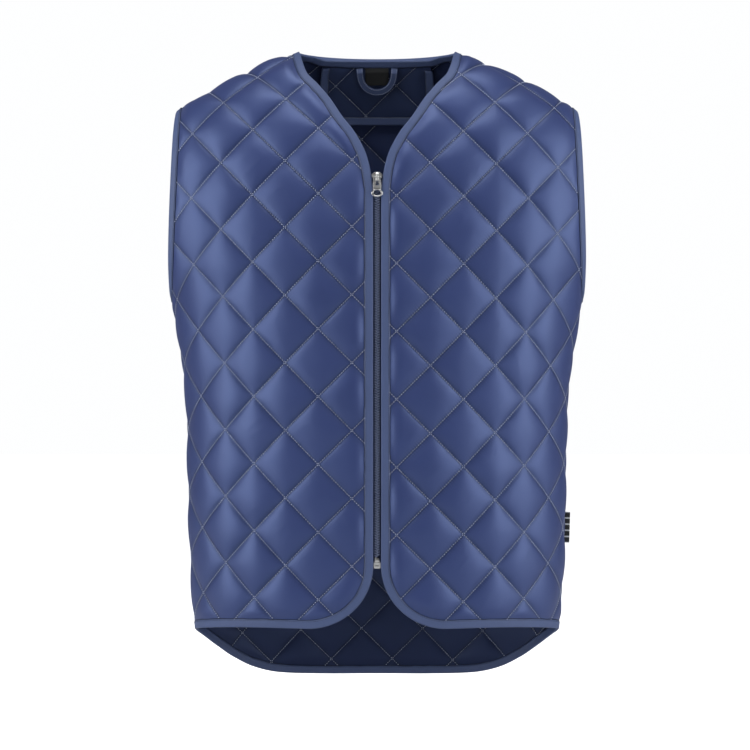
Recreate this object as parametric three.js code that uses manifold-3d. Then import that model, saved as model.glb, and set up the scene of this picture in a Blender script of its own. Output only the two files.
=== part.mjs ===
// A quilted, padded V-neck gilet with a zip front, shaped as it is worn.
// Millimetres. +Z is up, the front faces -Y, and +X is the wearer's left.
// The origin lies between the shoulders, level with the points where the neck meets them.
import * as THREE from "three";
import { mergeVertices } from "three/addons/utils/BufferGeometryUtils.js";
import Module from "manifold-3d";

// Driving dimensions of the garment
const tailLength = 760; // neck point level down to the lowest edge of the tail
const sideLength = 689; // neck point level down to the hem at the side seam
const frontLength = 673; // neck point level down to the hem beside the rounded corner
const vNeckDepth = 175; // neck point level down to the foot of the V
const backNeckRise = 5; // how far the centre back edge stands above the neck points
const chestHalfWidth = 250;
const chestFrontDepth = 121;
const chestBackDepth = 107;
const cornerWidth = 75; // the rounded lower corner of each front
const cornerHeight = 72;

// Quilted cloth and its edges
const quiltDiagonal = 77; // corner to corner of one quilted square
const stitchedThickness = 1.8; // cloth pressed flat along the stitching
const outerPuff = 3.6; // how far a square stands proud outside
const innerPuff = 2.4; // and inside
const seamGap = 0.4;
const bindingWidth = 8;
const bindingThickness = 0.7;
const bindingClearance = 0.9; // between the pressed cloth and the tape's leaves
const bindingReach = 0.5; // between the cloth's raw edge and the fold of the tape
const edgeStep = 30; // distance between stations along an edge
const bendRadius = 45; // stations close up where an edge bends as tightly as this

// Zip
const zipGapHalf = 4.4; // centre front to the fold of each front's binding
const zipTapeWidth = 13;
const zipTapeThickness = 0.7;
const coilWidth = 3;
const coilThickness = 1.8;
const coilGap = 0.3;
const sliderWidth = 11.6;
const sliderLength = 12.4;
const sliderWall = 1.2;
const bridgeWidth = 3;
const sliderWaist = 7.8;
const dividerWidth = 2.2;
const dividerLength = 3.4;
const bridgeRise = 3.4; // clear height under the bridge
const bridgeLength = 12.2;
const bridgeWall = 1.4;
const pullLength = 23.2; // hinge line to the lower end of the ring
const pullThickness = 1.3;
const pullWaist = 8.6;
const pullHeadWidth = 8;
const pullBar = 1.2; // height of the bar that lies under the bridge
const pullWindow = 9.4;
const pullRingWidth = 13.4;
const pullRingHeight = 9.6;
const ringHoleWidth = 8.6;
const ringHoleHeight = 5.8;
const boxWidth = 8;
const boxHeight = 7.4;
const boxThickness = 3.6;
const pinHeight = 5.6;
const pinWidth = 6;

// Neck facing, hanger loop and labels
const facingHalfWidth = 71;
const facingLength = 81;
const facingCorner = 24;
const facingThickness = 1;
const facingStandOff = 2.8; // between the back's pressed cloth and the facing, with room for the tape
const facingClearance = 0.8;
const fit = 0.3; // between pieces that touch
const loopHalfWidth = 22.5;
const loopLength = 43.5; // neck edge down to the lowest edge of the loop
const strapWidth = 8.4;
const strapThickness = 1.2;
const neckLabelWidth = 30;
const neckLabelLength = 30;
const labelThickness = 1;
const sideLabelDrop = 549;
const sideLabelLength = 37;
const sideLabelReach = 7;

// Loops around the body, from above the neck down to the tail
// drop: share of tailLength; half, front, back: shares of the chest sizes
const bodyLoops = [
  { drop: -0.018, half: 0.262, front: 0.32, back: 0.575 },
  { drop: -0.008, half: 0.326, front: 0.37, back: 0.622 },
  { drop: 0, half: 0.374, front: 0.413, back: 0.654 },
  { drop: 0.0092, half: 0.438, front: 0.463, back: 0.69 },
  { drop: 0.0297, half: 0.582, front: 0.562, back: 0.757 },
  { drop: 0.05, half: 0.724, front: 0.636, back: 0.813 },
  { drop: 0.0755, half: 0.866, front: 0.711, back: 0.869 },
  { drop: 0.0929, half: 0.954, front: 0.752, back: 0.897 },
  { drop: 0.1316, half: 1.044, front: 0.835, back: 0.944 },
  { drop: 0.1842, half: 1.09, front: 0.909, back: 0.981 },
  { drop: 0.25, half: 1.096, front: 0.967, back: 1 },
  { drop: 0.3158, half: 1.06, front: 0.992, back: 0.991 },
  { drop: 0.3724, half: 0.992, front: 1, back: 0.963 },
  { drop: 0.4513, half: 0.944, front: 0.992, back: 0.907 },
  { drop: 0.5224, half: 0.914, front: 0.983, back: 0.869 },
  { drop: 0.5934, half: 0.902, front: 0.979, back: 0.85 },
  { drop: 0.6882, half: 0.897, front: 0.975, back: 0.86 },
  { drop: 0.7829, half: 0.889, front: 0.967, back: 0.897 },
  { drop: 0.8618, half: 0.877, front: 0.955, back: 0.935 },
  { drop: 0.9092, half: 0.865, front: 0.95, back: 0.963 },
  { drop: 1.02, half: 0.84, front: 0.94, back: 1.01 },
];

// The V neck: drop is a share of vNeckDepth, half a share of the way from gap to neck point
const vNeckLine = [
  { drop: 0, half: 1 },
  { drop: 0.194, half: 0.875 },
  { drop: 0.28, half: 0.728 },
  { drop: 0.383, half: 0.564 },
  { drop: 0.514, half: 0.394 },
  { drop: 0.611, half: 0.247 },
  { drop: 0.731, half: 0.117 },
  { drop: 0.817, half: 0.06 },
  { drop: 0.897, half: 0.028 },
  { drop: 1, half: 0 },
];

// The armhole's edge seen from the front: half is a share of chestHalfWidth
const armholeLine = [
  { drop: 0.08, half: 0.95 },
  { drop: 0.22, half: 0.962 },
  { drop: 0.4, half: 0.986 },
];

// The tail's hem: across is a share of the back from side seam to centre
const tailLine = [
  { across: 0, drop: 0 },
  { across: 0.09, drop: 0.14 },
  { across: 0.19, drop: 0.37 },
  { across: 0.28, drop: 0.59 },
  { across: 0.39, drop: 0.8 },
  { across: 0.52, drop: 0.93 },
  { across: 0.75, drop: 0.99 },
  { across: 1, drop: 1 },
];

// One crossing of the quilting lines on each panel, from centre and neck level
const quiltPhase = {
  left: { across: 60.5, drop: 451 },
  right: { across: -28.5, drop: 448 },
  back: { across: -quiltDiagonal / 4, drop: 704 },
  facing: { across: -14, drop: 58 },
};

// Smooth reading of a table between its rows
function readTable(rows, key, at, column) {
  const last = rows.length - 1;
  let i = 0;
  while (i < last - 1 && rows[i + 1][key] < at) i += 1;
  const slope = (j) => {
    const a = rows[Math.max(j - 1, 0)];
    const b = rows[Math.min(j + 1, last)];
    return (b[column] - a[column]) / (b[key] - a[key]);
  };
  const span = rows[i + 1][key] - rows[i][key];
  const t = Math.min(Math.max((at - rows[i][key]) / span, 0), 1);
  const h = [2 * t ** 3 - 3 * t ** 2 + 1, t ** 3 - 2 * t ** 2 + t, 3 * t ** 2 - 2 * t ** 3, t ** 3 - t ** 2];
  const value = h[0] * rows[i][column] + h[2] * rows[i + 1][column];
  return value + span * (h[1] * slope(i) + h[3] * slope(i + 1));
}

function loopAt(z) {
  const drop = -z / tailLength;
  return {
    half: readTable(bodyLoops, "drop", drop, "half") * chestHalfWidth,
    front: readTable(bodyLoops, "drop", drop, "front") * chestFrontDepth,
    back: readTable(bodyLoops, "drop", drop, "back") * chestBackDepth,
  };
}

// Distance along a loop at equal steps of its angle, from the middle of one face to the other's
const quarterSteps = 28;

function measureLoop(face, z) {
  const { half, front, back } = loopAt(z);
  const near = face === "front" ? front : back;
  const far = face === "front" ? back : front;
  const along = [0];
  for (let i = 0; i < 2 * quarterSteps; i += 1) {
    const angle = ((i + 0.5) / quarterSteps) * (Math.PI / 2);
    const depth = i < quarterSteps ? near : far;
    const step = Math.PI / 2 / quarterSteps;
    along.push(along[i] + step * Math.hypot(half * Math.cos(angle), depth * Math.sin(angle)));
  }
  return { z, half, near, far, along, sign: face === "front" ? -1 : 1 };
}

function pointOnLoop(loop, u) {
  const reach = Math.abs(u);
  let low = 0;
  let high = loop.along.length - 1;
  while (high - low > 1) {
    const middle = (low + high) >> 1;
    if (loop.along[middle] <= reach) low = middle;
    else high = middle;
  }
  const part = (reach - loop.along[low]) / (loop.along[high] - loop.along[low]);
  const angle = ((low + part) / quarterSteps) * (Math.PI / 2);
  const depth = angle < Math.PI / 2 ? loop.near : loop.far;
  const x = Math.sign(u) * loop.half * Math.sin(angle);
  return new THREE.Vector3(x, loop.sign * depth * Math.cos(angle), loop.z);
}

// The cloth laid flat: u runs along a loop from the middle of its face, v up along the cloth
const levelStep = 4;
const waistDrop = 0.59; // where v equals height, as a share of tailLength
const lowestLevel = -1.02 * tailLength;
const levelCount = Math.ceil((1.035 * tailLength) / levelStep);
const levels = { front: [], back: [] };
for (const face of ["front", "back"]) {
  for (let k = 0; k <= levelCount; k += 1) levels[face].push(measureLoop(face, lowestLevel + k * levelStep));
}
const flatColumns = new Map();

function flatColumn(face, u) {
  const name = face + Math.abs(u).toFixed(3);
  if (!flatColumns.has(name)) {
    const points = levels[face].map((loop) => pointOnLoop(loop, Math.abs(u)));
    const heights = [0];
    for (let k = 1; k < points.length; k += 1) {
      heights.push(heights[k - 1] + points[k].distanceTo(points[k - 1]));
    }
    const waist = Math.round((-waistDrop * tailLength - lowestLevel) / levelStep);
    const shift = points[waist].z - heights[waist];
    flatColumns.set(name, heights.map((height) => height + shift));
  }
  return flatColumns.get(name);
}

function flatHeight(face, u, z) {
  const column = flatColumn(face, u);
  const at = Math.min(Math.max((z - lowestLevel) / levelStep, 0), column.length - 1.001);
  const k = Math.floor(at);
  return column[k] + (at - k) * (column[k + 1] - column[k]);
}

function bodyHeight(face, u, v) {
  const column = flatColumn(face, u);
  let k = 0;
  while (k < column.length - 2 && column[k + 1] < v) k += 1;
  return lowestLevel + levelStep * (k + (v - column[k]) / (column[k + 1] - column[k]));
}

// A point of the flat cloth on the body, raised along the surface by h
function wrap(face, u, v, h) {
  const z = bodyHeight(face, u, v);
  const small = 0.5;
  const loop = measureLoop(face, z);
  const point = pointOnLoop(loop, u);
  const alongLoop = pointOnLoop(loop, u + small).sub(pointOnLoop(loop, u - small));
  const above = pointOnLoop(measureLoop(face, z + small), u);
  const below = pointOnLoop(measureLoop(face, z - small), u);
  const normal = alongLoop.cross(above.sub(below)).normalize().multiplyScalar(face === "front" ? 1 : -1);
  return point.addScaledVector(normal, h);
}

// Distance along the loop at height z to the place that lies x from the middle
function alongTo(face, x, z) {
  const loop = measureLoop(face, z);
  const at = (Math.asin(Math.min(x / loop.half, 1)) / (Math.PI / 2)) * quarterSteps;
  const k = Math.min(Math.floor(at), quarterSteps - 1);
  return loop.along[k] + (at - k) * (loop.along[k + 1] - loop.along[k]);
}

function sideAlong(face, z) {
  return measureLoop(face, z).along[quarterSteps];
}

function armholeHalf(z) {
  return readTable(armholeLine, "drop", -z / tailLength, "half") * chestHalfWidth;
}

// The height between two levels where the armhole's edge meets the side of the body
function armholeEnd(inside, outside) {
  let open = inside;
  let closed = outside;
  for (let i = 0; i < 40; i += 1) {
    const middle = (open + closed) / 2;
    if (loopAt(middle).half > armholeHalf(middle)) open = middle;
    else closed = middle;
  }
  return (open + closed) / 2;
}

const armholeMiddle = -0.22 * tailLength;
const shoulderTip = armholeEnd(armholeMiddle, -0.06 * tailLength);
const armpit = armholeEnd(armholeMiddle, -0.45 * tailLength);
const neckHalf = loopAt(0).half;
const frontEdge = zipGapHalf + bindingReach + bindingThickness;
const sliderTop = -0.885 * vNeckDepth;
const zipFoot = -(frontLength - cornerHeight);

// Edges of the pattern pieces, each a function from 0 to 1 that gives u and z
function straightDown(u, from, to) {
  return (t) => ({ u: u(from + (to - from) * t), z: from + (to - from) * t });
}

const sideSeam = (face) => straightDown((z) => sideAlong(face, z) - seamGap / 2, armpit, -sideLength);
const shoulderSeam = (face) => straightDown((z) => sideAlong(face, z) - seamGap / 2, 0, shoulderTip);

function armholeEdge(face) {
  return (t) => {
    const z = shoulderTip + (armpit - shoulderTip) * (0.5 - 0.5 * Math.cos(Math.PI * t));
    const u = Math.min(alongTo(face, armholeHalf(z), z), sideAlong(face, z) - seamGap / 2);
    return { u, z };
  };
}

function frontHem(t) {
  const side = sideAlong("front", -sideLength) - seamGap / 2;
  const corner = frontEdge + cornerWidth;
  const u = side + (corner - side) * t;
  return { u, z: -frontLength - (sideLength - frontLength) * (1 - t) ** 2.5 };
}

function frontCorner(t) {
  const angle = (t * Math.PI) / 2;
  const u = frontEdge + cornerWidth * (1 - Math.sin(angle));
  return { u, z: -frontLength + cornerHeight * (1 - Math.cos(angle)) };
}

function vNeckEdge(t) {
  const drop = 1 - t;
  const half = readTable(vNeckLine, "drop", drop, "half");
  const z = -drop * vNeckDepth;
  return { u: Math.min(alongTo("front", frontEdge + (neckHalf - frontEdge) * half, z),
    sideAlong("front", z) - seamGap / 2), z };
}

function backNeckEdge(t) {
  const z = backNeckRise * (1 - t ** 2);
  return { u: t * (sideAlong("back", z) - seamGap / 2), z };
}

function tailHem(t) {
  const side = sideAlong("back", -sideLength) - seamGap / 2;
  const drop = readTable(tailLine, "across", 1 - t, "drop");
  return { u: side * t, z: -sideLength - (tailLength - sideLength) * drop };
}

// Stations along an edge at about equal steps; the last point is left to the next edge
function stationsAlong(face, edge, name, step, reversed = false, mirrored = false) {
  const dense = 96;
  const flat = [];
  for (let i = 0; i <= dense; i += 1) {
    const t = reversed ? 1 - i / dense : i / dense;
    const { u, z } = edge(t);
    flat.push({ u: mirrored ? -u : u, v: flatHeight(face, u, z) });
  }
  const normals = flat.map(({ u, v }) => wrap(face, u, v, 1).sub(wrap(face, u, v, 0)));
  const run = [0];
  for (let i = 1; i <= dense; i += 1) {
    const length = Math.hypot(flat[i].u - flat[i - 1].u, flat[i].v - flat[i - 1].v);
    run.push(run[i - 1] + length + bendRadius * normals[i].angleTo(normals[i - 1]));
  }
  const count = Math.max(2, Math.round(run[dense] / step));
  const stations = [];
  let k = 0;
  for (let i = 0; i < count; i += 1) {
    const target = (run[dense] * i) / count;
    while (run[k + 1] < target) k += 1;
    const part = (target - run[k]) / (run[k + 1] - run[k]);
    const u = flat[k].u + part * (flat[k + 1].u - flat[k].u);
    stations.push({ u, v: flat[k].v + part * (flat[k + 1].v - flat[k].v), edge: name });
  }
  return stations;
}

// Seams are divided by height, so that both panels have the same stations
function stationsOnSeam(face, edge, name, count, reversed = false, mirrored = false) {
  const stations = [];
  for (let i = 0; i < count; i += 1) {
    const { u, z } = edge(reversed ? 1 - i / count : i / count);
    stations.push({ u: mirrored ? -u : u, v: flatHeight(face, u, z), edge: name });
  }
  return stations;
}

const sideSeamCount = Math.round((sideLength + armpit) / edgeStep);
const shoulderSeamCount = 7;
const curvedStep = 0.75 * edgeStep;

const frontOutline = [
  ...stationsAlong("front", frontHem, "bound", edgeStep),
  ...stationsAlong("front", frontCorner, "bound", 0.6 * edgeStep),
  ...stationsAlong(
    "front",
    (t) => ({ u: frontEdge, z: zipFoot - (zipFoot + vNeckDepth) * t }),
    "bound",
    edgeStep
  ),
  ...stationsAlong("front", vNeckEdge, "bound", curvedStep),
  ...stationsOnSeam("front", shoulderSeam("front"), "seam", shoulderSeamCount),
  ...stationsAlong("front", armholeEdge("front"), "armhole", curvedStep),
  ...stationsOnSeam("front", sideSeam("front"), "seam", sideSeamCount),
];

const backOutline = [
  ...stationsAlong("back", tailHem, "tail", edgeStep, true),
  ...stationsAlong("back", tailHem, "tail", edgeStep, false, true),
  ...stationsOnSeam("back", sideSeam("back"), "seam", sideSeamCount, true, true),
  ...stationsAlong("back", armholeEdge("back"), "armholeRight", curvedStep, true, true),
  ...stationsOnSeam("back", shoulderSeam("back"), "seam", shoulderSeamCount, true, true),
  ...stationsAlong("back", backNeckEdge, "neck", curvedStep, true, true),
  ...stationsAlong("back", backNeckEdge, "neck", curvedStep),
  ...stationsOnSeam("back", shoulderSeam("back"), "seam", shoulderSeamCount),
  ...stationsAlong("back", armholeEdge("back"), "armholeLeft", curvedStep),
  ...stationsOnSeam("back", sideSeam("back"), "seam", sideSeamCount),
];

// Which way is inwards, square to the edge, at each station of an outline
function inwardsOf(outline) {
  const count = outline.length;
  const area = outline.reduce((sum, p, i) => {
    const q = outline[(i + 1) % count];
    return sum + p.u * q.v - q.u * p.v;
  }, 0);
  const turn = Math.sign(area);
  const edgeNormal = (i) => {
    const p = outline[(i + count) % count];
    const q = outline[(i + 1) % count];
    const length = Math.hypot(q.u - p.u, q.v - p.v);
    return { u: (-turn * (q.v - p.v)) / length, v: (turn * (q.u - p.u)) / length };
  };
  return outline.map((_, i) => {
    const a = edgeNormal(i - 1);
    const b = edgeNormal(i);
    const length = Math.hypot(a.u + b.u, a.v + b.v);
    const miter = Math.min(2 / length, 2.2);
    return { u: ((a.u + b.u) / length) * miter, v: ((a.v + b.v) / length) * miter };
  });
}

function insideOutline(outline, u, v) {
  let inside = false;
  outline.forEach((p, i) => {
    const q = outline[(i + 1) % outline.length];
    if (p.v > v !== q.v > v && u < p.u + ((v - p.v) / (q.v - p.v)) * (q.u - p.u)) inside = !inside;
  });
  return inside;
}

function distanceToOutline(outline, u, v) {
  return outline.reduce((nearest, p, i) => {
    const q = outline[(i + 1) % outline.length];
    const du = q.u - p.u;
    const dv = q.v - p.v;
    const t = Math.min(Math.max(((u - p.u) * du + (v - p.v) * dv) / (du * du + dv * dv), 0), 1);
    return Math.min(nearest, Math.hypot(u - p.u - t * du, v - p.v - t * dv));
  }, Infinity);
}

// Flat triangles over a set of points, each with no other point in its circle
function joinPoints(points) {
  const far = 1e5;
  const shake = (i) => 1e-4 * Math.sin(12.9 * i);
  const all = points.map((p, i) => ({ x: p.u + shake(i), y: p.v + shake(i + 0.5) }));
  all.push({ x: -far, y: -far }, { x: far, y: -far }, { x: 0, y: far });
  const circleThrough = (a, b, c) => {
    const [p, q, r] = [all[a], all[b], all[c]];
    const d = 2 * (p.x * (q.y - r.y) + q.x * (r.y - p.y) + r.x * (p.y - q.y));
    const [pp, qq, rr] = [p, q, r].map((s) => s.x * s.x + s.y * s.y);
    const x = (pp * (q.y - r.y) + qq * (r.y - p.y) + rr * (p.y - q.y)) / d;
    const y = (pp * (r.x - q.x) + qq * (p.x - r.x) + rr * (q.x - p.x)) / d;
    return { corners: [a, b, c], x, y, r2: (p.x - x) ** 2 + (p.y - y) ** 2 };
  };
  let triangles = [circleThrough(points.length, points.length + 1, points.length + 2)];
  points.forEach((_, i) => {
    const open = new Map();
    const kept = [];
    for (const triangle of triangles) {
      if ((all[i].x - triangle.x) ** 2 + (all[i].y - triangle.y) ** 2 >= triangle.r2) {
        kept.push(triangle);
        continue;
      }
      const [a, b, c] = triangle.corners;
      for (const [p, q] of [[a, b], [b, c], [c, a]]) {
        if (!open.delete(`${q},${p}`)) open.set(`${p},${q}`, [p, q]);
      }
    }
    for (const [p, q] of open.values()) kept.push(circleThrough(p, q, i));
    triangles = kept;
  });
  return triangles.map((t) => t.corners).filter((c) => c.every((corner) => corner < points.length));
}

// How high a quilted square stands at a place: 0 on the stitching, 1 at its middle
function puffAt(phase, u, v) {
  const across = u - phase.across;
  const up = v + phase.drop;
  const toLine = (s) => Math.abs(s / quiltDiagonal - Math.round(s / quiltDiagonal));
  const share = 2 * Math.min(toLine(across + up), toLine(across - up));
  return 1 - (1 - share) ** 2.2;
}

// Corners, middles and quarter points of the quilted squares inside an outline
function quiltPoints(outline, phase, rimWidth, isFine) {
  const quarter = quiltDiagonal / 4;
  const points = [];
  const us = outline.map((p) => p.u);
  const vs = outline.map((p) => p.v);
  const first = Math.floor((Math.min(...us) - phase.across) / quarter);
  const last = Math.ceil((Math.max(...us) - phase.across) / quarter);
  const bottom = Math.floor((Math.min(...vs) + phase.drop) / quarter);
  const top = Math.ceil((Math.max(...vs) + phase.drop) / quarter);
  // Points closer than this would be joined straight to the edge, past the pressed rim
  const clearance = rimWidth / 2 + Math.hypot(edgeStep / 2, rimWidth / 2);
  const onCrossing = (i, j) => (i + j) % 4 === 0 && (i - j) % 4 === 0;
  for (let i = first; i <= last; i += 1) {
    for (let j = bottom; j <= top; j += 1) {
      const isQuarter = (i + j) % 2 !== 0;
      if (isQuarter && !isFine(phase.across + quarter * i, quarter * j - phase.drop)) continue;
      // A quarter point is drawn towards the middle of its square, so the folds follow the stitching
      const away = isQuarter
        ? [[1, 0], [-1, 0], [0, 1], [0, -1]].find(([a, b]) => onCrossing(i + a, j + b))
        : [0, 0];
      const u = phase.across + quarter * (i - 0.04 * away[0]);
      const v = -phase.drop + quarter * (j - 0.04 * away[1]);
      if (!insideOutline(outline, u, v) || distanceToOutline(outline, u, v) < clearance) continue;
      points.push({ u, v });
    }
  }
  return points;
}

function meshFromTriangles(name, corners, material) {
  const volume = corners.reduce((sum, p, i) => {
    return i % 3 ? sum : sum + p.dot(corners[i + 1].clone().cross(corners[i + 2]));
  }, 0);
  const ordered = volume < 0 ? corners.slice().reverse() : corners;
  const geometry = new THREE.BufferGeometry();
  const flat = ordered.flatMap((p) => [p.x, p.y, p.z]);
  geometry.setAttribute("position", new THREE.Float32BufferAttribute(flat, 3));
  geometry.computeVertexNormals();
  const mesh = new THREE.Mesh(geometry, material);
  mesh.name = name;
  return mesh;
}

// A padded piece: two layers over one outline, joined by a wall around its edge
function quiltedPiece(name, face, outline, material, layers) {
  const rimWidth = bindingWidth + bindingClearance;
  const inwards = inwardsOf(outline);
  const rim = outline
    .map((p, i) => ({ u: p.u + inwards[i].u * rimWidth, v: p.v + inwards[i].v * rimWidth }))
    .filter((p) => insideOutline(outline, p.u, p.v))
    .filter((p) => distanceToOutline(outline, p.u, p.v) > 0.8 * rimWidth);
  const corners = [];
  const edges = [];
  for (const layer of layers) {
    const points = [...outline, ...rim, ...quiltPoints(outline, layer.phase, rimWidth, layer.fine)];
    const flatCount = outline.length + rim.length;
    const placed = points.map((p, i) => {
      const rise = i < flatCount ? 0 : layer.puff(p.u, p.v);
      return wrap(face, p.u, p.v, layer.height + rise);
    });
    edges.push(placed);
    for (const triangle of joinPoints(points)) {
      const u = triangle.reduce((sum, i) => sum + points[i].u / 3, 0);
      const v = triangle.reduce((sum, i) => sum + points[i].v / 3, 0);
      if (!insideOutline(outline, u, v)) continue;
      const [a, b, c] = triangle.map((i) => points[i]);
      const turn = (b.u - a.u) * (c.v - a.v) - (c.u - a.u) * (b.v - a.v);
      const order = turn > 0 === layer.upper ? triangle : triangle.slice().reverse();
      corners.push(...order.map((i) => placed[i]));
    }
  }
  const area = outline.reduce((sum, p, i) => {
    const q = outline[(i + 1) % outline.length];
    return sum + p.u * q.v - q.u * p.v;
  }, 0);
  outline.forEach((_, i) => {
    const j = (i + 1) % outline.length;
    const [from, to] = area > 0 ? [i, j] : [j, i];
    corners.push(edges[1][from], edges[1][to], edges[0][to]);
    corners.push(edges[1][from], edges[0][to], edges[0][from]);
  });
  return meshFromTriangles(name, corners, material);
}

// A solid whose section is carried along a row of places; each section lists its corners in order
function sweptPiece(name, sections, profile, material, closed = false) {
  const count = sections.length;
  const size = profile.length;
  const corners = [];
  const quads = closed ? count : count - 1;
  for (let i = 0; i < quads; i += 1) {
    const a = sections[i];
    const b = sections[(i + 1) % count];
    for (let k = 0; k < size; k += 1) {
      const n = (k + 1) % size;
      corners.push(a[k], a[n], b[n], a[k], b[n], b[k]);
    }
  }
  if (!closed) {
    const faces = THREE.ShapeUtils.triangulateShape(profile.map(([x, y]) => new THREE.Vector2(x, y)), []);
    const turn = THREE.ShapeUtils.isClockWise(profile.map(([x, y]) => new THREE.Vector2(x, y)));
    for (const face of faces) {
      const ordered = turn ? face.slice().reverse() : face;
      corners.push(...ordered.map((k) => sections[0][k]).reverse());
      corners.push(...ordered.map((k) => sections[count - 1][k]));
    }
  }
  return meshFromTriangles(name, corners, material);
}

// Tape folded round an edge: an outer leaf, the fold and an inner leaf
function foldedTape(outerFace, innerFace) {
  const fold = -bindingReach - bindingThickness;
  return [
    [bindingWidth, outerFace],
    [bindingWidth, outerFace + bindingThickness],
    [fold, outerFace + bindingThickness],
    [fold, innerFace - bindingThickness],
    [bindingWidth, innerFace - bindingThickness],
    [bindingWidth, innerFace],
    [-bindingReach, innerFace],
    [-bindingReach, outerFace],
  ];
}

const leafHeight = stitchedThickness / 2 + bindingClearance;
const plainTape = foldedTape(leafHeight, -leafHeight);

// The run of stations from one index to another, with their directions inwards
function edgeRun(outline, edgeNames) {
  const count = outline.length;
  const bound = (i) => edgeNames.includes(outline[(i + count) % count].edge);
  const inwards = inwardsOf(outline);
  let start = 0;
  while (!(bound(start) && !bound(start - 1))) start += 1;
  let end = start;
  while (bound(end)) end += 1;
  const along = (from, to) => {
    const length = Math.hypot(to.u - from.u, to.v - from.v);
    return { u: (to.u - from.u) / length, v: (to.v - from.v) / length };
  };
  const run = [];
  for (let i = start; i <= end; i += 1) {
    const p = outline[i % count];
    let inward = inwards[i % count];
    if (i === start) inward = along(p, outline[(i - 1 + count) % count]);
    if (i === end) inward = along(p, outline[(i + 1) % count]);
    run.push({ ...p, inward });
  }
  return run;
}

function tapeSections(face, run, profile) {
  return run.map((p) => profile.map(([e, h]) => wrap(face, p.u + p.inward.u * e, p.v + p.inward.v * e, h)));
}

function mirrorPoint(p) {
  return new THREE.Vector3(-p.x, p.y, p.z);
}

const mirrorSections = (sections) => sections.map((section) => section.map(mirrorPoint));

// Materials
const cloth = (color, roughness) => new THREE.MeshStandardMaterial({ color, roughness, metalness: 0 });
const satin = cloth("#3f4d86", 0.42);
const lining = cloth("#1d2748", 0.6);
const tape = cloth("#42527f", 0.5);
const zipCloth = cloth("#141b3c", 0.85);
const coilPlastic = cloth("#1b2342", 0.5);
const labelCloth = cloth("#26272a", 0.9);
const castMetal = new THREE.MeshStandardMaterial({ color: "#c9cacc", roughness: 0.3, metalness: 0.95 });

const vest = new THREE.Group();

// Fronts and back
const everywhere = () => true;
const nowhere = () => false;

function panelLayers(phase, isFine, isPressed) {
  const outer = { phase, fine: isFine, upper: true, height: stitchedThickness / 2 };
  outer.puff = (u, v) => outerPuff * puffAt(phase, u, v);
  const inner = { phase, fine: isPressed, upper: false, height: -stitchedThickness / 2 };
  inner.puff = (u, v) => (isPressed(u, v) ? 0 : -innerPuff * puffAt(phase, u, v));
  return [outer, inner];
}

const mirrorOutline = (outline) => outline.map((p) => ({ ...p, u: -p.u })).reverse();
const backNeck = flatHeight("back", 0, backNeckRise);
const facingFoot = backNeck - facingLength;
const behindFacing = (u, v) =>
  Math.abs(u) < facingHalfWidth + 3 * bindingWidth && v > facingFoot - 2 * bindingWidth;

vest.add(quiltedPiece("front_panel_left", "front", frontOutline, satin,
  panelLayers(quiltPhase.left, everywhere, nowhere)));
vest.add(quiltedPiece("front_panel_right", "front", mirrorOutline(frontOutline), satin,
  panelLayers(quiltPhase.right, everywhere, nowhere)));
vest.add(quiltedPiece("back_panel", "back", backOutline, satin,
  panelLayers(quiltPhase.back, nowhere, behindFacing)));

// Tape round the fronts, the back neck and the tail
const frontTape = tapeSections("front", edgeRun(frontOutline, ["bound"]), plainTape);
vest.add(sweptPiece("edge_binding_left", frontTape, plainTape, tape));
vest.add(sweptPiece("edge_binding_right", mirrorSections(frontTape), plainTape, tape));

const facingOuter = -stitchedThickness / 2 - facingStandOff;
const facingInner = facingOuter - facingThickness;
const neckTape = foldedTape(leafHeight, facingInner - facingClearance);
const neckSections = tapeSections("back", edgeRun(backOutline, ["neck"]), neckTape);
vest.add(sweptPiece("neck_binding", neckSections, neckTape, tape));
const tailSections = tapeSections("back", edgeRun(backOutline, ["tail"]), plainTape);
vest.add(sweptPiece("tail_binding", tailSections, plainTape, tape));

// Tape round each armhole: up the front's edge and down the back's, closed in one ring
function armholeTape() {
  const front = tapeSections("front", edgeRun(frontOutline, ["armhole"]), plainTape);
  const back = tapeSections("back", edgeRun(backOutline, ["armholeLeft"]), plainTape);
  return [...front, ...back.slice(1, -1).reverse()];
}
const armholeRing = armholeTape();
vest.add(sweptPiece("armhole_binding_left", armholeRing, plainTape, tape, true));
vest.add(sweptPiece("armhole_binding_right", mirrorSections(armholeRing), plainTape, tape, true));


// Quilted facing inside the back neck, hung from the same edge as the back
function facingOutline() {
  const foot = facingFoot;
  const corner = facingCorner;
  const neck = backOutline.filter((p) => p.edge === "neck" && Math.abs(p.u) < facingHalfWidth - 4);
  const topAt = (u) => flatHeight("back", u, backNeckEdge(Math.abs(u) / neckAlong).z);
  const top = topAt(facingHalfWidth);
  const side = [0, 1, 2].map((k) => ({ u: facingHalfWidth,
    v: k === 0 ? top : top - underNeckTape - (top - underNeckTape - foot - corner) * ((k - 1) / 2) }));
  const turn = [0, 1, 2, 3, 4].map((k) => {
    const angle = (k / 4) * (Math.PI / 2);
    return { u: facingHalfWidth - corner * (1 - Math.cos(angle)), v: foot + corner * (1 - Math.sin(angle)) };
  });
  const half = [...side, ...turn, { u: (facingHalfWidth - corner) / 2, v: foot }];
  const mirrored = half.slice().reverse().map((p) => ({ u: -p.u, v: p.v }));
  const free = [...half, { u: 0, v: foot }, ...mirrored].map((p) => ({ ...p, edge: "facing" }));
  for (const end of [free[0], free[free.length - 2], free[free.length - 1]]) end.edge = "neck";
  return [...free, ...neck];
}
const neckAlong = sideAlong("back", 0) - seamGap / 2;
const underNeckTape = 1.8 * bindingWidth; // how far down the facing's sides the neck's tape reaches
const facing = facingOutline();
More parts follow.
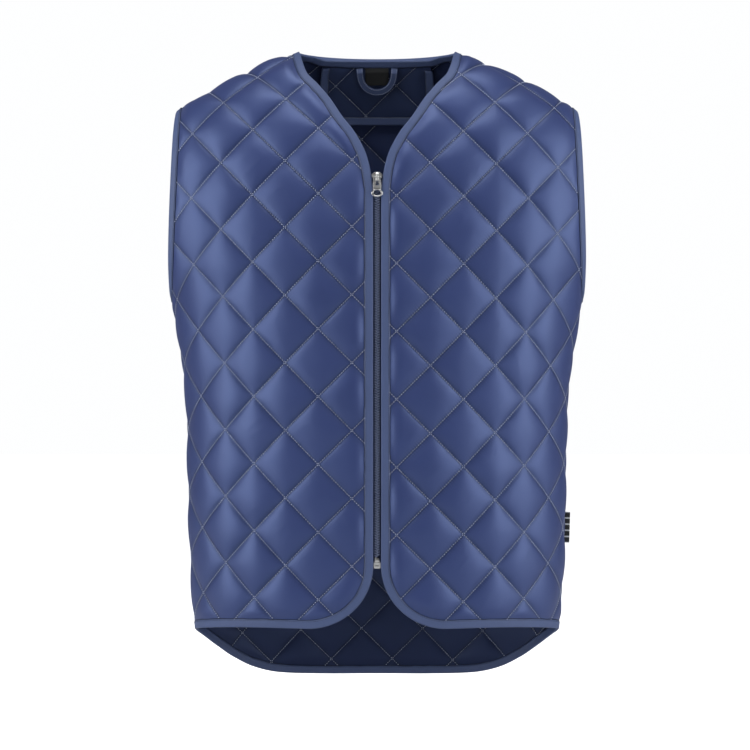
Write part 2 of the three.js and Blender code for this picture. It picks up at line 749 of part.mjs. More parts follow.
const facingLayers = [
  { phase: quiltPhase.facing, fine: nowhere, upper: true, height: facingOuter, puff: () => 0 },
  { phase: quiltPhase.facing, fine: everywhere, upper: false, height: facingInner,
    puff: (u, v) => -innerPuff * puffAt(quiltPhase.facing, u, v) },
];
vest.add(quiltedPiece("neck_facing", "back", facing, lining, facingLayers));

// Its tape stops under the neck's own tape
const facingTape = foldedTape(facingOuter + facingClearance, facingInner - facingClearance);
const facingRun = edgeRun(facing, ["facing"]);
facingRun[0].inward = { u: -1, v: 0 };
facingRun[facingRun.length - 1].inward = { u: 1, v: 0 };
vest.add(sweptPiece("facing_binding", tapeSections("back", facingRun, facingTape), facingTape, tape));

// Hanger loop: a flat strap that hangs in a U below the neck's tape
const strapTop = backNeck - bindingWidth - fit;
const strapHeight = facingInner - fit; // at its sewn ends
const facingFront = facingInner - innerPuff; // the proud face of the facing
const fall = (v, from, to) => from + (to - from) * Math.min((strapTop - v) / 5, 1);
const strapProfile = [[-0.5, 0], [0.5, 0], [0.5, -1], [-0.5, -1]];

function hangerLoop() {
  const steps = 16;
  const depth = loopLength - bindingWidth - fit - strapWidth / 2;
  const bottom = facingFront - labelThickness - 3 * fit;
  const sections = [];
  for (let i = 0; i <= steps; i += 1) {
    const angle = (i / steps) * Math.PI;
    const u = -loopHalfWidth * Math.cos(angle);
    const v = strapTop - depth * Math.sin(angle) ** 0.8;
    const square = new THREE.Vector2(depth * Math.cos(angle), loopHalfWidth * Math.sin(angle));
    if (i === 0 || i === steps) square.set(Math.sign(square.x), 0);
    square.normalize().multiplyScalar(strapWidth);
    const height = fall(v, strapHeight, bottom);
    const section = strapProfile.map(([across, deep]) =>
      wrap("back", u + across * square.x, v + across * square.y, height + deep * strapThickness)
    );
    sections.push(section);
  }
  return sections;
}
vest.add(sweptPiece("hanger_loop", hangerLoop(), strapProfile, tape));

function neckLabel() {
  const drops = [0, 5, 10, neckLabelLength - bindingWidth];
  return drops.map((drop) => strapProfile.map(([across, deep]) => wrap("back", across * neckLabelWidth,
    strapTop - drop, fall(strapTop - drop, strapHeight, facingFront - fit) + deep * labelThickness)));
}
vest.add(sweptPiece("neck_label", neckLabel(), strapProfile, labelCloth));

// Folded label sewn into the side seam on the wearer's left
function sideLabel() {
  const from = flatHeight("front", sideAlong("front", -sideLabelDrop), -sideLabelDrop);
  const root = stitchedThickness / 2 + fit;
  return [0, 0.5, 1].map((t) => {
    const z = -sideLabelDrop - t * sideLabelLength;
    const u = sideAlong("front", z);
    const v = from - t * sideLabelLength;
    return [[-0.5, root], [0.5, root], [0.5, root + sideLabelReach], [-0.5, root + sideLabelReach]]
      .map(([across, h]) => wrap("front", u + across * labelThickness, v, h));
  });
}
vest.add(sweptPiece("side_label", sideLabel(), strapProfile, labelCloth));

// Zip: tapes behind the bindings and the closed coils between them
const sliderFoot = sliderTop - sliderLength;
const coilTop = sliderTop - dividerLength - fit;
const boxTop = zipFoot + 0.55 * boxHeight;
const coilBack = -leafHeight - bindingThickness - fit + 0.1; // height of the tapes' outer face
const coilFront = coilBack + fit + coilThickness;
const barProfile = [[0, 0], [1, 0], [1, 1], [0, 1]];

function zipStrip(width, low, high, bottom) {
  const steps = 10;
  const sections = [];
  for (let i = 0; i <= steps; i += 1) {
    const z = coilTop + ((bottom - coilTop) * i) / steps;
    const v = flatHeight("front", 0, z);
    sections.push(barProfile.map(([across, up]) =>
      wrap("front", coilGap / 2 + across * width, v, low + up * (high - low))));
  }
  return sections;
}
const tapeSide = zipStrip(zipTapeWidth, coilBack - zipTapeThickness, coilBack, boxTop + fit);
const coilSide = zipStrip(coilWidth, coilBack + fit, coilFront, boxTop + pinHeight + fit);
vest.add(sweptPiece("zip_tape_left", tapeSide, barProfile, zipCloth));
vest.add(sweptPiece("zip_tape_right", mirrorSections(tapeSide), barProfile, zipCloth));
vest.add(sweptPiece("zip_coil_left", coilSide, barProfile, coilPlastic));
vest.add(sweptPiece("zip_coil_right", mirrorSections(coilSide), barProfile, coilPlastic));

// Joining metal shapes
const kernel = await Module();
kernel.setup();

function toSolid(geometry) {
  const bare = geometry.clone();
  bare.deleteAttribute("normal");
  bare.deleteAttribute("uv");
  const merged = mergeVertices(bare, 1e-4);
  return new kernel.Manifold(new kernel.Mesh({
    numProp: 3,
    vertProperties: Float32Array.from(merged.attributes.position.array),
    triVerts: Uint32Array.from(merged.index.array),
  }));
}

function fromSolid(name, solid, material) {
  const { vertProperties, triVerts } = solid.getMesh();
  const geometry = new THREE.BufferGeometry();
  geometry.setAttribute("position", new THREE.BufferAttribute(Float32Array.from(vertProperties), 3));
  geometry.setIndex(new THREE.BufferAttribute(Uint32Array.from(triVerts), 1));
  geometry.computeVertexNormals();
  const mesh = new THREE.Mesh(geometry, material);
  mesh.name = name;
  return mesh;
}

const shapeFrom = (outline) => new THREE.Shape(outline.map(([x, y]) => new THREE.Vector2(x, y)));

// A plate parallel to the cloth: its outline in x and z, and its two heights above the cloth
function plate(outline, low, high) {
  const shape = outline instanceof THREE.Shape ? outline : shapeFrom(outline);
  const options = { depth: high - low, bevelEnabled: false, curveSegments: 6 };
  const geometry = new THREE.ExtrudeGeometry(shape, options);
  geometry.translate(0, 0, low);
  geometry.rotateX(Math.PI / 2);
  return toSolid(geometry);
}

// The frame of the zip at a height: on the cloth's surface, leaning as the cloth does
function zipFrame(z) {
  const v = flatHeight("front", 0, z);
  const at = wrap("front", 0, v, 0);
  const up = wrap("front", 0, v + 1, 0).sub(wrap("front", 0, v - 1, 0));
  const frame = new THREE.Group();
  frame.position.copy(at);
  frame.rotation.x = Math.atan2(-up.y, up.z);
  return frame;
}

function zipSlider() {
  const top = sliderLength / 2;
  const wing = sliderWidth / 2;
  const waist = sliderWaist / 2;
  const outline = [[-waist, -top], [waist, -top], [waist, -0.2 * top], [wing, 0.2 * top], [wing, 0.7 * top],
    [0.6 * wing, top], [-0.6 * wing, top], [-wing, 0.7 * top], [-wing, 0.2 * top], [-waist, -0.2 * top]];
  const faceLow = coilFront + fit;
  const backHigh = coilBack - zipTapeThickness - fit;
  const face = plate(outline, faceLow, faceLow + sliderWall);
  const back = plate(outline, backHigh - sliderWall, backHigh);
  const side = dividerWidth / 2;
  const foot = top - dividerLength;
  const head = top - fit;
  const dividerOutline = [[-side, foot], [side, foot], [side, head], [-side, head]];
  const divider = plate(dividerOutline, backHigh - sliderWall / 2, faceLow + sliderWall / 2);
  const half = bridgeLength / 2;
  const rise = bridgeRise + bridgeWall;
  const arch = shapeFrom([[-half, -0.4], [-half, 0.6 * rise], [-0.75 * half, rise], [0.75 * half, rise],
    [half, 0.6 * rise], [half, -0.4], [half - bridgeWall, -0.4], [half - bridgeWall, 0.55 * bridgeRise],
    [0.6 * half, bridgeRise], [-0.6 * half, bridgeRise], [bridgeWall - half, 0.55 * bridgeRise],
    [bridgeWall - half, -0.4]]);
  const archGeometry = new THREE.ExtrudeGeometry(arch, { depth: bridgeWidth, bevelEnabled: false });
  archGeometry.translate(0, 0, -bridgeWidth / 2);
  const turn = new THREE.Matrix4().makeBasis(
    new THREE.Vector3(0, 0, 1), new THREE.Vector3(0, -1, 0), new THREE.Vector3(1, 0, 0));
  archGeometry.applyMatrix4(turn);
  archGeometry.translate(0, -(faceLow + sliderWall), 0);
  return face.add(back).add(divider).add(toSolid(archGeometry));
}

const sliderFrame = zipFrame((sliderTop + sliderFoot) / 2);
sliderFrame.add(fromSolid("zip_slider", zipSlider(), castMetal));
const pullHeight = coilFront + fit + sliderWall + bridgeRise - pullThickness / 2 - 1.2 * fit;

// Ring pull: a bar under the bridge, a window for the bridge, a waist and the ring
function zipPull() {
  const head = pullHeadWidth / 2;
  const ringMiddle = -pullLength + pullRingHeight / 2;
  const outline = new THREE.Shape();
  outline.moveTo(-head + 0.5, pullBar / 2);
  outline.lineTo(head - 0.5, pullBar / 2);
  outline.lineTo(head, 0);
  outline.lineTo(pullWaist / 2 - 0.3, 0.62 * ringMiddle);
  outline.bezierCurveTo(pullWaist / 2, 0.8 * ringMiddle, pullRingWidth / 2, 0.85 * ringMiddle,
    pullRingWidth / 2, ringMiddle);
  outline.absellipse(0, ringMiddle, pullRingWidth / 2, pullRingHeight / 2, 0, Math.PI, true);
  outline.bezierCurveTo(-pullRingWidth / 2, 0.85 * ringMiddle, -pullWaist / 2, 0.8 * ringMiddle,
    -pullWaist / 2 + 0.3, 0.62 * ringMiddle);
  outline.lineTo(-head, 0);
  const hole = new THREE.Path();
  hole.absellipse(0, ringMiddle, ringHoleWidth / 2, ringHoleHeight / 2, 0, 2 * Math.PI, false);
  const window = new THREE.Path();
  const slot = bridgeWidth / 2 + 2 * fit;
  window.moveTo(-slot, -pullBar / 2);
  window.lineTo(-slot, -pullBar / 2 - pullWindow);
  window.lineTo(slot, -pullBar / 2 - pullWindow);
  window.lineTo(slot, -pullBar / 2);
  outline.holes.push(hole, window);
  return plate(outline, -pullThickness / 2, pullThickness / 2);
}
const pullHinge = new THREE.Group();
pullHinge.position.y = -pullHeight;
pullHinge.add(fromSolid("zip_pull", zipPull(), castMetal));
sliderFrame.add(pullHinge);
vest.add(sliderFrame);

// Retainer box at the foot of the zip, with the pin that stands in it
function zipBox() {
  const half = boxWidth / 2;
  const outline = [[-half, -0.4 * boxHeight], [-0.8 * half, -boxHeight / 2], [0.8 * half, -boxHeight / 2],
    [half, -0.4 * boxHeight], [half, boxHeight / 2], [-half, boxHeight / 2]];
  const block = plate(outline, coilFront + 0.4 - boxThickness, coilFront + 0.4);
  const pin = plate([[-pinWidth / 2, 0], [pinWidth / 2, 0], [pinWidth / 2, boxHeight / 2 + 0.8 * pinHeight],
    [0.3 * pinWidth, boxHeight / 2 + pinHeight], [-0.3 * pinWidth, boxHeight / 2 + pinHeight],
    [-pinWidth / 2, boxHeight / 2 + 0.8 * pinHeight]], coilBack + fit, coilFront);
  return block.add(pin);
}
const boxFrame = zipFrame(boxTop - boxHeight / 2);
boxFrame.add(fromSolid("zip_bottom_box", zipBox(), castMetal));
vest.add(boxFrame);

export default vest;
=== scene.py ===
import math
import bpy
import numpy as np
from mathutils import Matrix, Vector
from mathutils.geometry import delaunay_2d_cdt
from mathutils.kdtree import KDTree


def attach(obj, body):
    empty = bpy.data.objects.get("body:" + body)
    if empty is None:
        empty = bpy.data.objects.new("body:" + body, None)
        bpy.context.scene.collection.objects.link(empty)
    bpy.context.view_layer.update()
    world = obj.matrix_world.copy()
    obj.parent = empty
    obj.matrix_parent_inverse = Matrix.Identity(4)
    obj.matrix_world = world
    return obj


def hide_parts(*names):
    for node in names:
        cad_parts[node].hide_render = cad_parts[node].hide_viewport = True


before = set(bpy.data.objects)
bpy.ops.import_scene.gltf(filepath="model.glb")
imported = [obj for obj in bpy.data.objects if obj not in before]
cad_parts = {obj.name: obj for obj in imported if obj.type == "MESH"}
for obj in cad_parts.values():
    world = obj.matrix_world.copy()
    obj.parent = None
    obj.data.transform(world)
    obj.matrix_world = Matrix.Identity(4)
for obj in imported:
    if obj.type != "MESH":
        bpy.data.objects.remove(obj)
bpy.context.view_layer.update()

print("stage: frame loaded")

# The gilet's own form, in millimetres as in the CAD; every point is scaled to metres at the end
form = {
    "tailLength": 760, "sideLength": 689, "frontLength": 673, "neckDepth": 175, "backNeckRise": 5,
    "chestHalf": 250, "chestFront": 121, "chestBack": 107, "cornerWidth": 75, "cornerHeight": 72,
    "seamGap": 0.4, "frontEdge": 5.6, "square": 77, "pressed": 0.9, "waist": 0.59,
}
bodyLoops = np.array([  # drop as a share of the tail's length; half width, front and back as shares of the chest
    (-0.018, 0.262, 0.32, 0.575), (-0.008, 0.326, 0.37, 0.622), (0, 0.374, 0.413, 0.654),
    (0.0092, 0.438, 0.463, 0.69), (0.0297, 0.582, 0.562, 0.757), (0.05, 0.724, 0.636, 0.813),
    (0.0755, 0.866, 0.711, 0.869), (0.0929, 0.954, 0.752, 0.897), (0.1316, 1.044, 0.835, 0.944),
    (0.1842, 1.09, 0.909, 0.981), (0.25, 1.096, 0.967, 1), (0.3158, 1.06, 0.992, 0.991),
    (0.3724, 0.992, 1, 0.963), (0.4513, 0.944, 0.992, 0.907), (0.5224, 0.914, 0.983, 0.869),
    (0.5934, 0.902, 0.979, 0.85), (0.6882, 0.897, 0.975, 0.86), (0.7829, 0.889, 0.967, 0.897),
    (0.8618, 0.877, 0.955, 0.935), (0.9092, 0.865, 0.95, 0.963), (1.02, 0.84, 0.94, 1.01),
])
neckLine = np.array([(0, 1), (0.194, 0.875), (0.28, 0.728), (0.383, 0.564), (0.514, 0.394), (0.611, 0.247),
                     (0.731, 0.117), (0.817, 0.06), (0.897, 0.028), (1, 0)])
armholeLine = np.array([(0.08, 0.95), (0.22, 0.962), (0.4, 0.986)])
tailLine = np.array([(0, 0), (0.09, 0.14), (0.19, 0.37), (0.28, 0.59), (0.39, 0.8), (0.52, 0.93),
                     (0.75, 0.99), (1, 1)])
quiltStart = {"left": (60.5, 451), "right": (-28.5, 448), "back": (-form["square"] / 4, 704), "facing": (-14, 58)}


def readTable(rows, at, column):
    at = np.asarray(at, float)
    keys, values = rows[:, 0], rows[:, column]
    last = len(rows) - 1
    i = np.clip(np.searchsorted(keys[1:], at), 0, last - 1)
    low, high = np.maximum(np.arange(last + 1) - 1, 0), np.minimum(np.arange(last + 1) + 1, last)
    slope = (values[high] - values[low]) / (keys[high] - keys[low])
    span = keys[i + 1] - keys[i]
    t = np.clip((at - keys[i]) / span, 0, 1)
    value = (2 * t ** 3 - 3 * t ** 2 + 1) * values[i] + (3 * t ** 2 - 2 * t ** 3) * values[i + 1]
    return value + span * ((t ** 3 - 2 * t ** 2 + t) * slope[i] + (t ** 3 - t ** 2) * slope[i + 1])


quarterSteps = 28


def loopSizes(face, z):
    drop = -np.asarray(z, float) / form["tailLength"]
    half = readTable(bodyLoops, drop, 1) * form["chestHalf"]
    front = readTable(bodyLoops, drop, 2) * form["chestFront"]
    back = readTable(bodyLoops, drop, 3) * form["chestBack"]
    return (half, front, back) if face == "front" else (half, back, front)


def loopLengths(face, z):
    half, near, far = loopSizes(face, z)
    angle = (np.arange(2 * quarterSteps) + 0.5) / quarterSteps * (math.pi / 2)
    depth = np.where(np.arange(2 * quarterSteps) < quarterSteps, near[..., None], far[..., None])
    step = (math.pi / 2 / quarterSteps) * np.hypot(half[..., None] * np.cos(angle), depth * np.sin(angle))
    return np.concatenate([np.zeros(step.shape[:-1] + (1,)), np.cumsum(step, -1)], -1)


def onLoop(face, u, z):
    u, z = np.broadcast_arrays(np.asarray(u, float), np.asarray(z, float))
    half, near, far = loopSizes(face, z)
    lengths = loopLengths(face, z)
    reach = np.abs(u)
    low = np.clip((lengths <= reach[..., None]).sum(-1) - 1, 0, 2 * quarterSteps - 1)
    a = np.take_along_axis(lengths, low[..., None], -1)[..., 0]
    b = np.take_along_axis(lengths, low[..., None] + 1, -1)[..., 0]
    angle = (low + (reach - a) / (b - a)) / quarterSteps * (math.pi / 2)
    depth = np.where(angle < math.pi / 2, near, far)
    side = -1 if face == "front" else 1
    return np.stack([np.sign(u) * half * np.sin(angle), side * depth * np.cos(angle), z], -1)


# Flat cloth: u runs round the body from the middle of its face, v up along the cloth
levelStep, acrossStep, upStep, upFrom = 4.0, 3.0, 2.0, -812.0
levels = -1.02 * form["tailLength"] + levelStep * np.arange(math.ceil(1.035 * form["tailLength"] / levelStep) + 1)
columns = acrossStep * np.arange(125)
heightTables, levelTables = {}, {}
for face in ("front", "back"):
    points = onLoop(face, columns[:, None], levels[None, :])
    rise = np.concatenate([np.zeros((len(columns), 1)),
                           np.cumsum(np.linalg.norm(np.diff(points, axis=1), axis=-1), 1)], 1)
    waist = round((-form["waist"] * form["tailLength"] - levels[0]) / levelStep)
    heightTables[face] = rise + (levels[waist] - rise[:, waist])[:, None]
    ups = upFrom + upStep * np.arange(430)
    levelTables[face] = np.array([np.interp(ups, row, levels) for row in heightTables[face]])


def readGrid(table, u, at, start, step):
    x = np.clip(np.abs(u) / acrossStep, 0, table.shape[0] - 1.001)
    y = np.clip((at - start) / step, 0, table.shape[1] - 1.001)
    i, j = x.astype(int), y.astype(int)
    p, q = x - i, y - j
    return ((1 - p) * ((1 - q) * table[i, j] + q * table[i, j + 1])
            + p * ((1 - q) * table[i + 1, j] + q * table[i + 1, j + 1]))


def flatHeight(face, u, z):
    u, z = np.broadcast_arrays(np.asarray(u, float), np.asarray(z, float))
    return readGrid(heightTables[face], u, z, levels[0], levelStep)


def clothPlace(face, u, v):  # the body's surface under a point of flat cloth, and its outward normal
    u, v = np.broadcast_arrays(np.asarray(u, float), np.asarray(v, float))
    z = readGrid(levelTables[face], u, v, upFrom, upStep)
    point = onLoop(face, u, z)
    across = onLoop(face, u + 0.5, z) - onLoop(face, u - 0.5, z)
    up = onLoop(face, u, z + 0.5) - onLoop(face, u, z - 0.5)
    normal = np.cross(across, up) * (1 if face == "front" else -1)
    return point, normal / np.linalg.norm(normal, axis=-1, keepdims=True)


def wrap(face, u, v, h):
    point, normal = clothPlace(face, u, v)
    return point + normal * np.broadcast_to(np.asarray(h, float), point.shape[:-1])[..., None]


def sideAlong(face, z):
    return loopLengths(face, np.asarray(z, float))[..., quarterSteps]


def alongTo(face, x, z):
    half = loopSizes(face, z)[0]
    lengths = loopLengths(face, z)
    at = np.arcsin(np.minimum(x / half, 1)) / (math.pi / 2) * quarterSteps
    k = np.minimum(at.astype(int), quarterSteps - 1)
    a = np.take_along_axis(lengths, k[..., None], -1)[..., 0]
    b = np.take_along_axis(lengths, k[..., None] + 1, -1)[..., 0]
    return a + (at - k) * (b - a)


def armholeHalf(z):
    return readTable(armholeLine, -np.asarray(z, float) / form["tailLength"], 1) * form["chestHalf"]


def armholeEnd(inside, outside):
    for _ in range(40):
        middle = (inside + outside) / 2
        if loopSizes("front", middle)[0] > armholeHalf(middle):
            inside = middle
        else:
            outside = middle
    return inside


shoulderTip = armholeEnd(-0.22 * form["tailLength"], -0.06 * form["tailLength"])
armpit = armholeEnd(-0.22 * form["tailLength"], -0.45 * form["tailLength"])
zipFoot = -(form["frontLength"] - form["cornerHeight"])
halfGap = form["seamGap"] / 2


def seamEdge(face, top, bottom):
    return lambda t: (sideAlong(face, top + (bottom - top) * t) - halfGap, top + (bottom - top) * t)


def armholeEdge(face):
    def edge(t):
        z = shoulderTip + (armpit - shoulderTip) * (0.5 - 0.5 * np.cos(math.pi * t))
        return np.minimum(alongTo(face, armholeHalf(z), z), sideAlong(face, z) - halfGap), z
    return edge


def frontHem(t):
    side = sideAlong("front", -form["sideLength"]) - halfGap
    corner = form["frontEdge"] + form["cornerWidth"]
    rise = form["sideLength"] - form["frontLength"]
    return side + (corner - side) * t, -form["frontLength"] - rise * (1 - t) ** 2.5


def frontCorner(t):
    angle = t * math.pi / 2
    return (form["frontEdge"] + form["cornerWidth"] * (1 - np.sin(angle)),
            -form["frontLength"] + form["cornerHeight"] * (1 - np.cos(angle)))


def zipEdge(t):
    return form["frontEdge"] + 0 * t, zipFoot - (zipFoot + form["neckDepth"]) * t


def neckEdge(t):
    z = -(1 - t) * form["neckDepth"]
    half = readTable(neckLine, 1 - t, 1)
    x = form["frontEdge"] + (loopSizes("front", 0.0)[0] - form["frontEdge"]) * half
    return np.minimum(alongTo("front", x, z), sideAlong("front", z) - halfGap), z


def backNeckEdge(t):
    z = form["backNeckRise"] * (1 - t ** 2)
    return t * (sideAlong("back", z) - halfGap), z


def tailHem(t):
    side = sideAlong("back", -form["sideLength"]) - halfGap
    drop = readTable(tailLine, 1 - t, 1)
    return side * t, -form["sideLength"] - (form["tailLength"] - form["sideLength"]) * drop


def edgeStations(face, edge, name, step=2.4, reverse=False, mirror=False):
    t = np.linspace(1, 0, 400) if reverse else np.linspace(0, 1, 400)
    u, z = edge(t)
    v = flatHeight(face, u, z)
    if name == "seam":  # both panels need the same heights along a seam
        count = max(2, round(abs(z[-1] - z[0]) / step))
        keep = np.linspace(0, 399, count + 1)
        u, v = np.interp(keep, np.arange(400), u), np.interp(keep, np.arange(400), v)
    else:
        run = np.concatenate([[0], np.cumsum(np.hypot(np.diff(u), np.diff(v)))])
        at = np.linspace(0, run[-1], max(2, round(run[-1] / step)) + 1)
        u, v = np.interp(at, run, u), np.interp(at, run, v)
    return (-u if mirror else u)[:-1], v[:-1], [name] * (len(u) - 1)


def joinEdges(parts):
    return {"u": np.concatenate([p[0] for p in parts]), "v": np.concatenate([p[1] for p in parts]),
            "edge": [name for p in parts for name in p[2]]}


frontOutline = joinEdges([
    edgeStations("front", frontHem, "bound"), edgeStations("front", frontCorner, "bound"),
    edgeStations("front", zipEdge, "bound"), edgeStations("front", neckEdge, "bound"),
    edgeStations("front", seamEdge("front", 0, shoulderTip), "seam"),
    edgeStations("front", armholeEdge("front"), "armhole"),
    edgeStations("front", seamEdge("front", armpit, -form["sideLength"]), "seam")])
backShoulder, backSide = seamEdge("back", 0, shoulderTip), seamEdge("back", armpit, -form["sideLength"])
backOutline = joinEdges([
    edgeStations("back", tailHem, "tail", reverse=True)[:3], edgeStations("back", tailHem, "tail", mirror=True),
    edgeStations("back", backSide, "seam", reverse=True, mirror=True),
    edgeStations("back", armholeEdge("back"), "armholeRight", reverse=True, mirror=True),
    edgeStations("back", backShoulder, "seam", reverse=True, mirror=True),
    edgeStations("back", backNeckEdge, "neck", reverse=True, mirror=True), edgeStations("back", backNeckEdge, "neck"),
    edgeStations("back", backShoulder, "seam"), edgeStations("back", armholeEdge("back"), "armholeLeft"),
    edgeStations("back", backSide, "seam")])


def mirrorOutline(outline):
    return {"u": -outline["u"][::-1], "v": outline["v"][::-1], "edge": outline["edge"][::-1]}


def inwardsOf(outline):
    u, v = outline["u"], outline["v"]
    nextU, nextV = np.roll(u, -1), np.roll(v, -1)
    turn = np.sign((u * nextV - nextU * v).sum())
    length = np.hypot(nextU - u, nextV - v)
    nu, nv = -turn * (nextV - v) / length, turn * (nextU - u) / length
    su, sv = nu + np.roll(nu, 1), nv + np.roll(nv, 1)
    size = np.hypot(su, sv)
    miter = np.minimum(2 / size, 2.2)
    return su / size * miter, sv / size * miter


def insideOutline(outline, u, v):
    inside = np.zeros(len(u), bool)
    pu, pv = outline["u"], outline["v"]
    for a, b, c, d in zip(pu, pv, np.roll(pu, -1), np.roll(pv, -1)):
        if b == d:
            continue
        hit = ((b > v) != (d > v)) & (u < a + (v - b) / (d - b) * (c - a))
        inside ^= hit
    return inside


def nearestDistance(points, u, v):
    tree = KDTree(len(points))
    for i, (a, b) in enumerate(points):
        tree.insert((a, b, 0), i)
    tree.balance()
    return np.array([tree.find((a, b, 0))[2] for a, b in zip(u, v)])


# Smooth repeatable noise for folds in the cloth
def cellValue(i, j, seed):
    return np.modf(np.abs(np.sin(i * 127.1 + j * 311.7 + seed * 74.7) * 43758.5453))[0]


def softNoise(x, y, seed):
    i, j = np.floor(x), np.floor(y)
    p, q = x - i, y - j
    p, q = p ** 3 * (p * (p * 6 - 15) + 10), q ** 3 * (q * (q * 6 - 15) + 10)
    low = cellValue(i, j, seed) * (1 - p) + cellValue(i + 1, j, seed) * p
    high = cellValue(i, j + 1, seed) * (1 - p) + cellValue(i + 1, j + 1, seed) * p
    return 2 * (low * (1 - q) + high * q) - 1


def quiltCoordinates(start, u, v):
    across, up = u - start[0], v + start[1]
    return (across + up) / form["square"], (across - up) / form["square"]


def fromQuilt(start, a, b):
    return start[0] + form["square"] * (a + b) / 2, -start[1] + form["square"] * (a - b) / 2


lineSpacing = form["square"] / math.sqrt(2)
stitchesPerSquare = 18


def makeMesh(name, vertices, faces, materials, slots=None, uv=None, uvName="quilt"):
    mesh = bpy.data.meshes.new(name)
    vertices = np.asarray(vertices, float) * 0.001
    sizes = np.array([len(f) for f in faces]) if isinstance(faces, list) else np.full(len(faces), faces.shape[1])
    corners = np.concatenate([np.asarray(f) for f in faces]) if isinstance(faces, list) else faces.reshape(-1)
    mesh.vertices.add(len(vertices))
    mesh.vertices.foreach_set("co", vertices.reshape(-1))
    mesh.loops.add(len(corners))
    mesh.loops.foreach_set("vertex_index", corners.astype(np.int32))
    mesh.polygons.add(len(sizes))
    mesh.polygons.foreach_set("loop_start", np.concatenate([[0], np.cumsum(sizes)[:-1]]).astype(np.int32))
    mesh.polygons.foreach_set("use_smooth", np.ones(len(sizes), bool))
    for material in materials:
        mesh.materials.append(material)
    if slots is not None:
        mesh.polygons.foreach_set("material_index", np.asarray(slots, np.int32))
    mesh.update(calc_edges=True)
    if uv is not None:
        layer = mesh.uv_layers.new(name=uvName)
        layer.data.foreach_set("uv", np.asarray(uv, np.float32)[corners].reshape(-1))
    mesh.validate()
    piece = bpy.data.objects.new(name, mesh)
    bpy.context.scene.collection.objects.link(piece)
    return piece


# Materials
def nodeTools(tree):
    tree.nodes.clear()

    def add(kind, inputs=None, **settings):
        node = tree.nodes.new(kind)
        for key, value in settings.items():
            setattr(node, key, value)
        for key, value in (inputs or {}).items():
            if isinstance(value, bpy.types.NodeSocket):
                tree.links.new(value, node.inputs[key])
            else:
                node.inputs[key].default_value = value
        return node

    def math_(operation, a, b=None, c=None):
        values = {0: a}
        if b is not None:
            values[1] = b
        if c is not None:
            values[2] = c
        return add("ShaderNodeMath", values, operation=operation).outputs[0]

    return add, math_


def newGroup(name, inputs, outputs):
    tree = bpy.data.node_groups.new(name, "ShaderNodeTree")
    for title, kind, value in inputs:
        socket = tree.interface.new_socket(title, in_out="INPUT", socket_type=kind)
        if value is not None:
            socket.default_value = value
    for title, kind in outputs:
        tree.interface.new_socket(title, in_out="OUTPUT", socket_type=kind)
    add, calc = nodeTools(tree)
    start = add("NodeGroupInput")
    end = add("NodeGroupOutput")
    return tree, add, calc, start, end


def makeClothTone():  # slow drift of the dye with a little rubbed lightness
    tree, add, calc, start, end = newGroup(
        "clothTone", [("Vector", "NodeSocketVector", None), ("Color", "NodeSocketColor", (0, 0, 0, 1)),
                      ("Drift", "NodeSocketFloat", 0.1), ("Rub", "NodeSocketFloat", 0.05)],
        [("Color", "NodeSocketColor"), ("Shift", "NodeSocketFloat")])
    slow = add("ShaderNodeTexNoise", {"Vector": start.outputs["Vector"], "Scale": 18.0, "Detail": 3.0})
    fine = add("ShaderNodeTexNoise", {"Vector": start.outputs["Vector"], "Scale": 420.0, "Detail": 2.0})
    slowPart = calc("MULTIPLY", calc("SUBTRACT", slow.outputs[0], 0.5), start.outputs["Drift"])
    finePart = calc("MULTIPLY", calc("SUBTRACT", fine.outputs[0], 0.5), start.outputs["Rub"])
    shift = calc("ADD", slowPart, finePart)
    value = calc("ADD", shift, 1.0)
    tint = add("ShaderNodeHueSaturation", {"Color": start.outputs["Color"], "Value": value})
    tree.links.new(tint.outputs[0], end.inputs["Color"])
    tree.links.new(shift, end.inputs["Shift"])
    return tree


def makeFineWeave():  # crossing threads, as a height
    tree, add, calc, start, end = newGroup(
        "fineWeave", [("Vector", "NodeSocketVector", None), ("Pitch", "NodeSocketFloat", 1.0)],
        [("Height", "NodeSocketFloat")])
    parts = add("ShaderNodeSeparateXYZ", {0: start.outputs["Vector"]})
    turn = calc("DIVIDE", 2 * math.pi, start.outputs["Pitch"])
    across = calc("SINE", calc("MULTIPLY", calc("ADD", parts.outputs[0], parts.outputs[1]), turn))
    along = calc("SINE", calc("MULTIPLY", parts.outputs[2], turn))
    height = calc("ADD", calc("MULTIPLY", calc("MULTIPLY", across, along), 0.5), 0.5)
    tree.links.new(height, end.inputs["Height"])
    return tree


def makeQuiltLines():  # distance to the stitching and the needle's holes along it, from the quilt's own UV map; the satin paints shade into its colour from both, and dips its bump at the holes
    tree, add, calc, start, end = newGroup(
        "quiltLines", [("UV", "NodeSocketVector", None), ("Spacing", "NodeSocketFloat", 54.45),
                       ("Stitch", "NodeSocketFloat", 3.02)],
        [("Near", "NodeSocketFloat"), ("PuckerAndHoleShade", "NodeSocketFloat")])
    parts = add("ShaderNodeSeparateXYZ", {0: start.outputs["UV"]})

    def line(cross, along):
        away = calc("MULTIPLY", calc("ABSOLUTE", calc("SUBTRACT", cross, calc("ROUND", cross))),
                    start.outputs["Spacing"])
        near = calc("POWER", 2.718, calc("MULTIPLY", away, -0.55))
        turn = calc("DIVIDE", calc("MULTIPLY", calc("MULTIPLY", along, start.outputs["Spacing"]), 2 * math.pi),
                    start.outputs["Stitch"])
        holes = calc("ADD", calc("MULTIPLY", calc("COSINE", turn), 0.5), 0.5)
        wide = calc("POWER", 2.718, calc("MULTIPLY", away, -0.5))
        return near, calc("MULTIPLY", wide, holes)

    nearA, holesA = line(parts.outputs[0], parts.outputs[1])
    nearB, holesB = line(parts.outputs[1], parts.outputs[0])
    tree.links.new(calc("MAXIMUM", nearA, nearB), end.inputs["Near"])
    tree.links.new(calc("MAXIMUM", holesA, holesB), end.inputs["PuckerAndHoleShade"])
    return tree


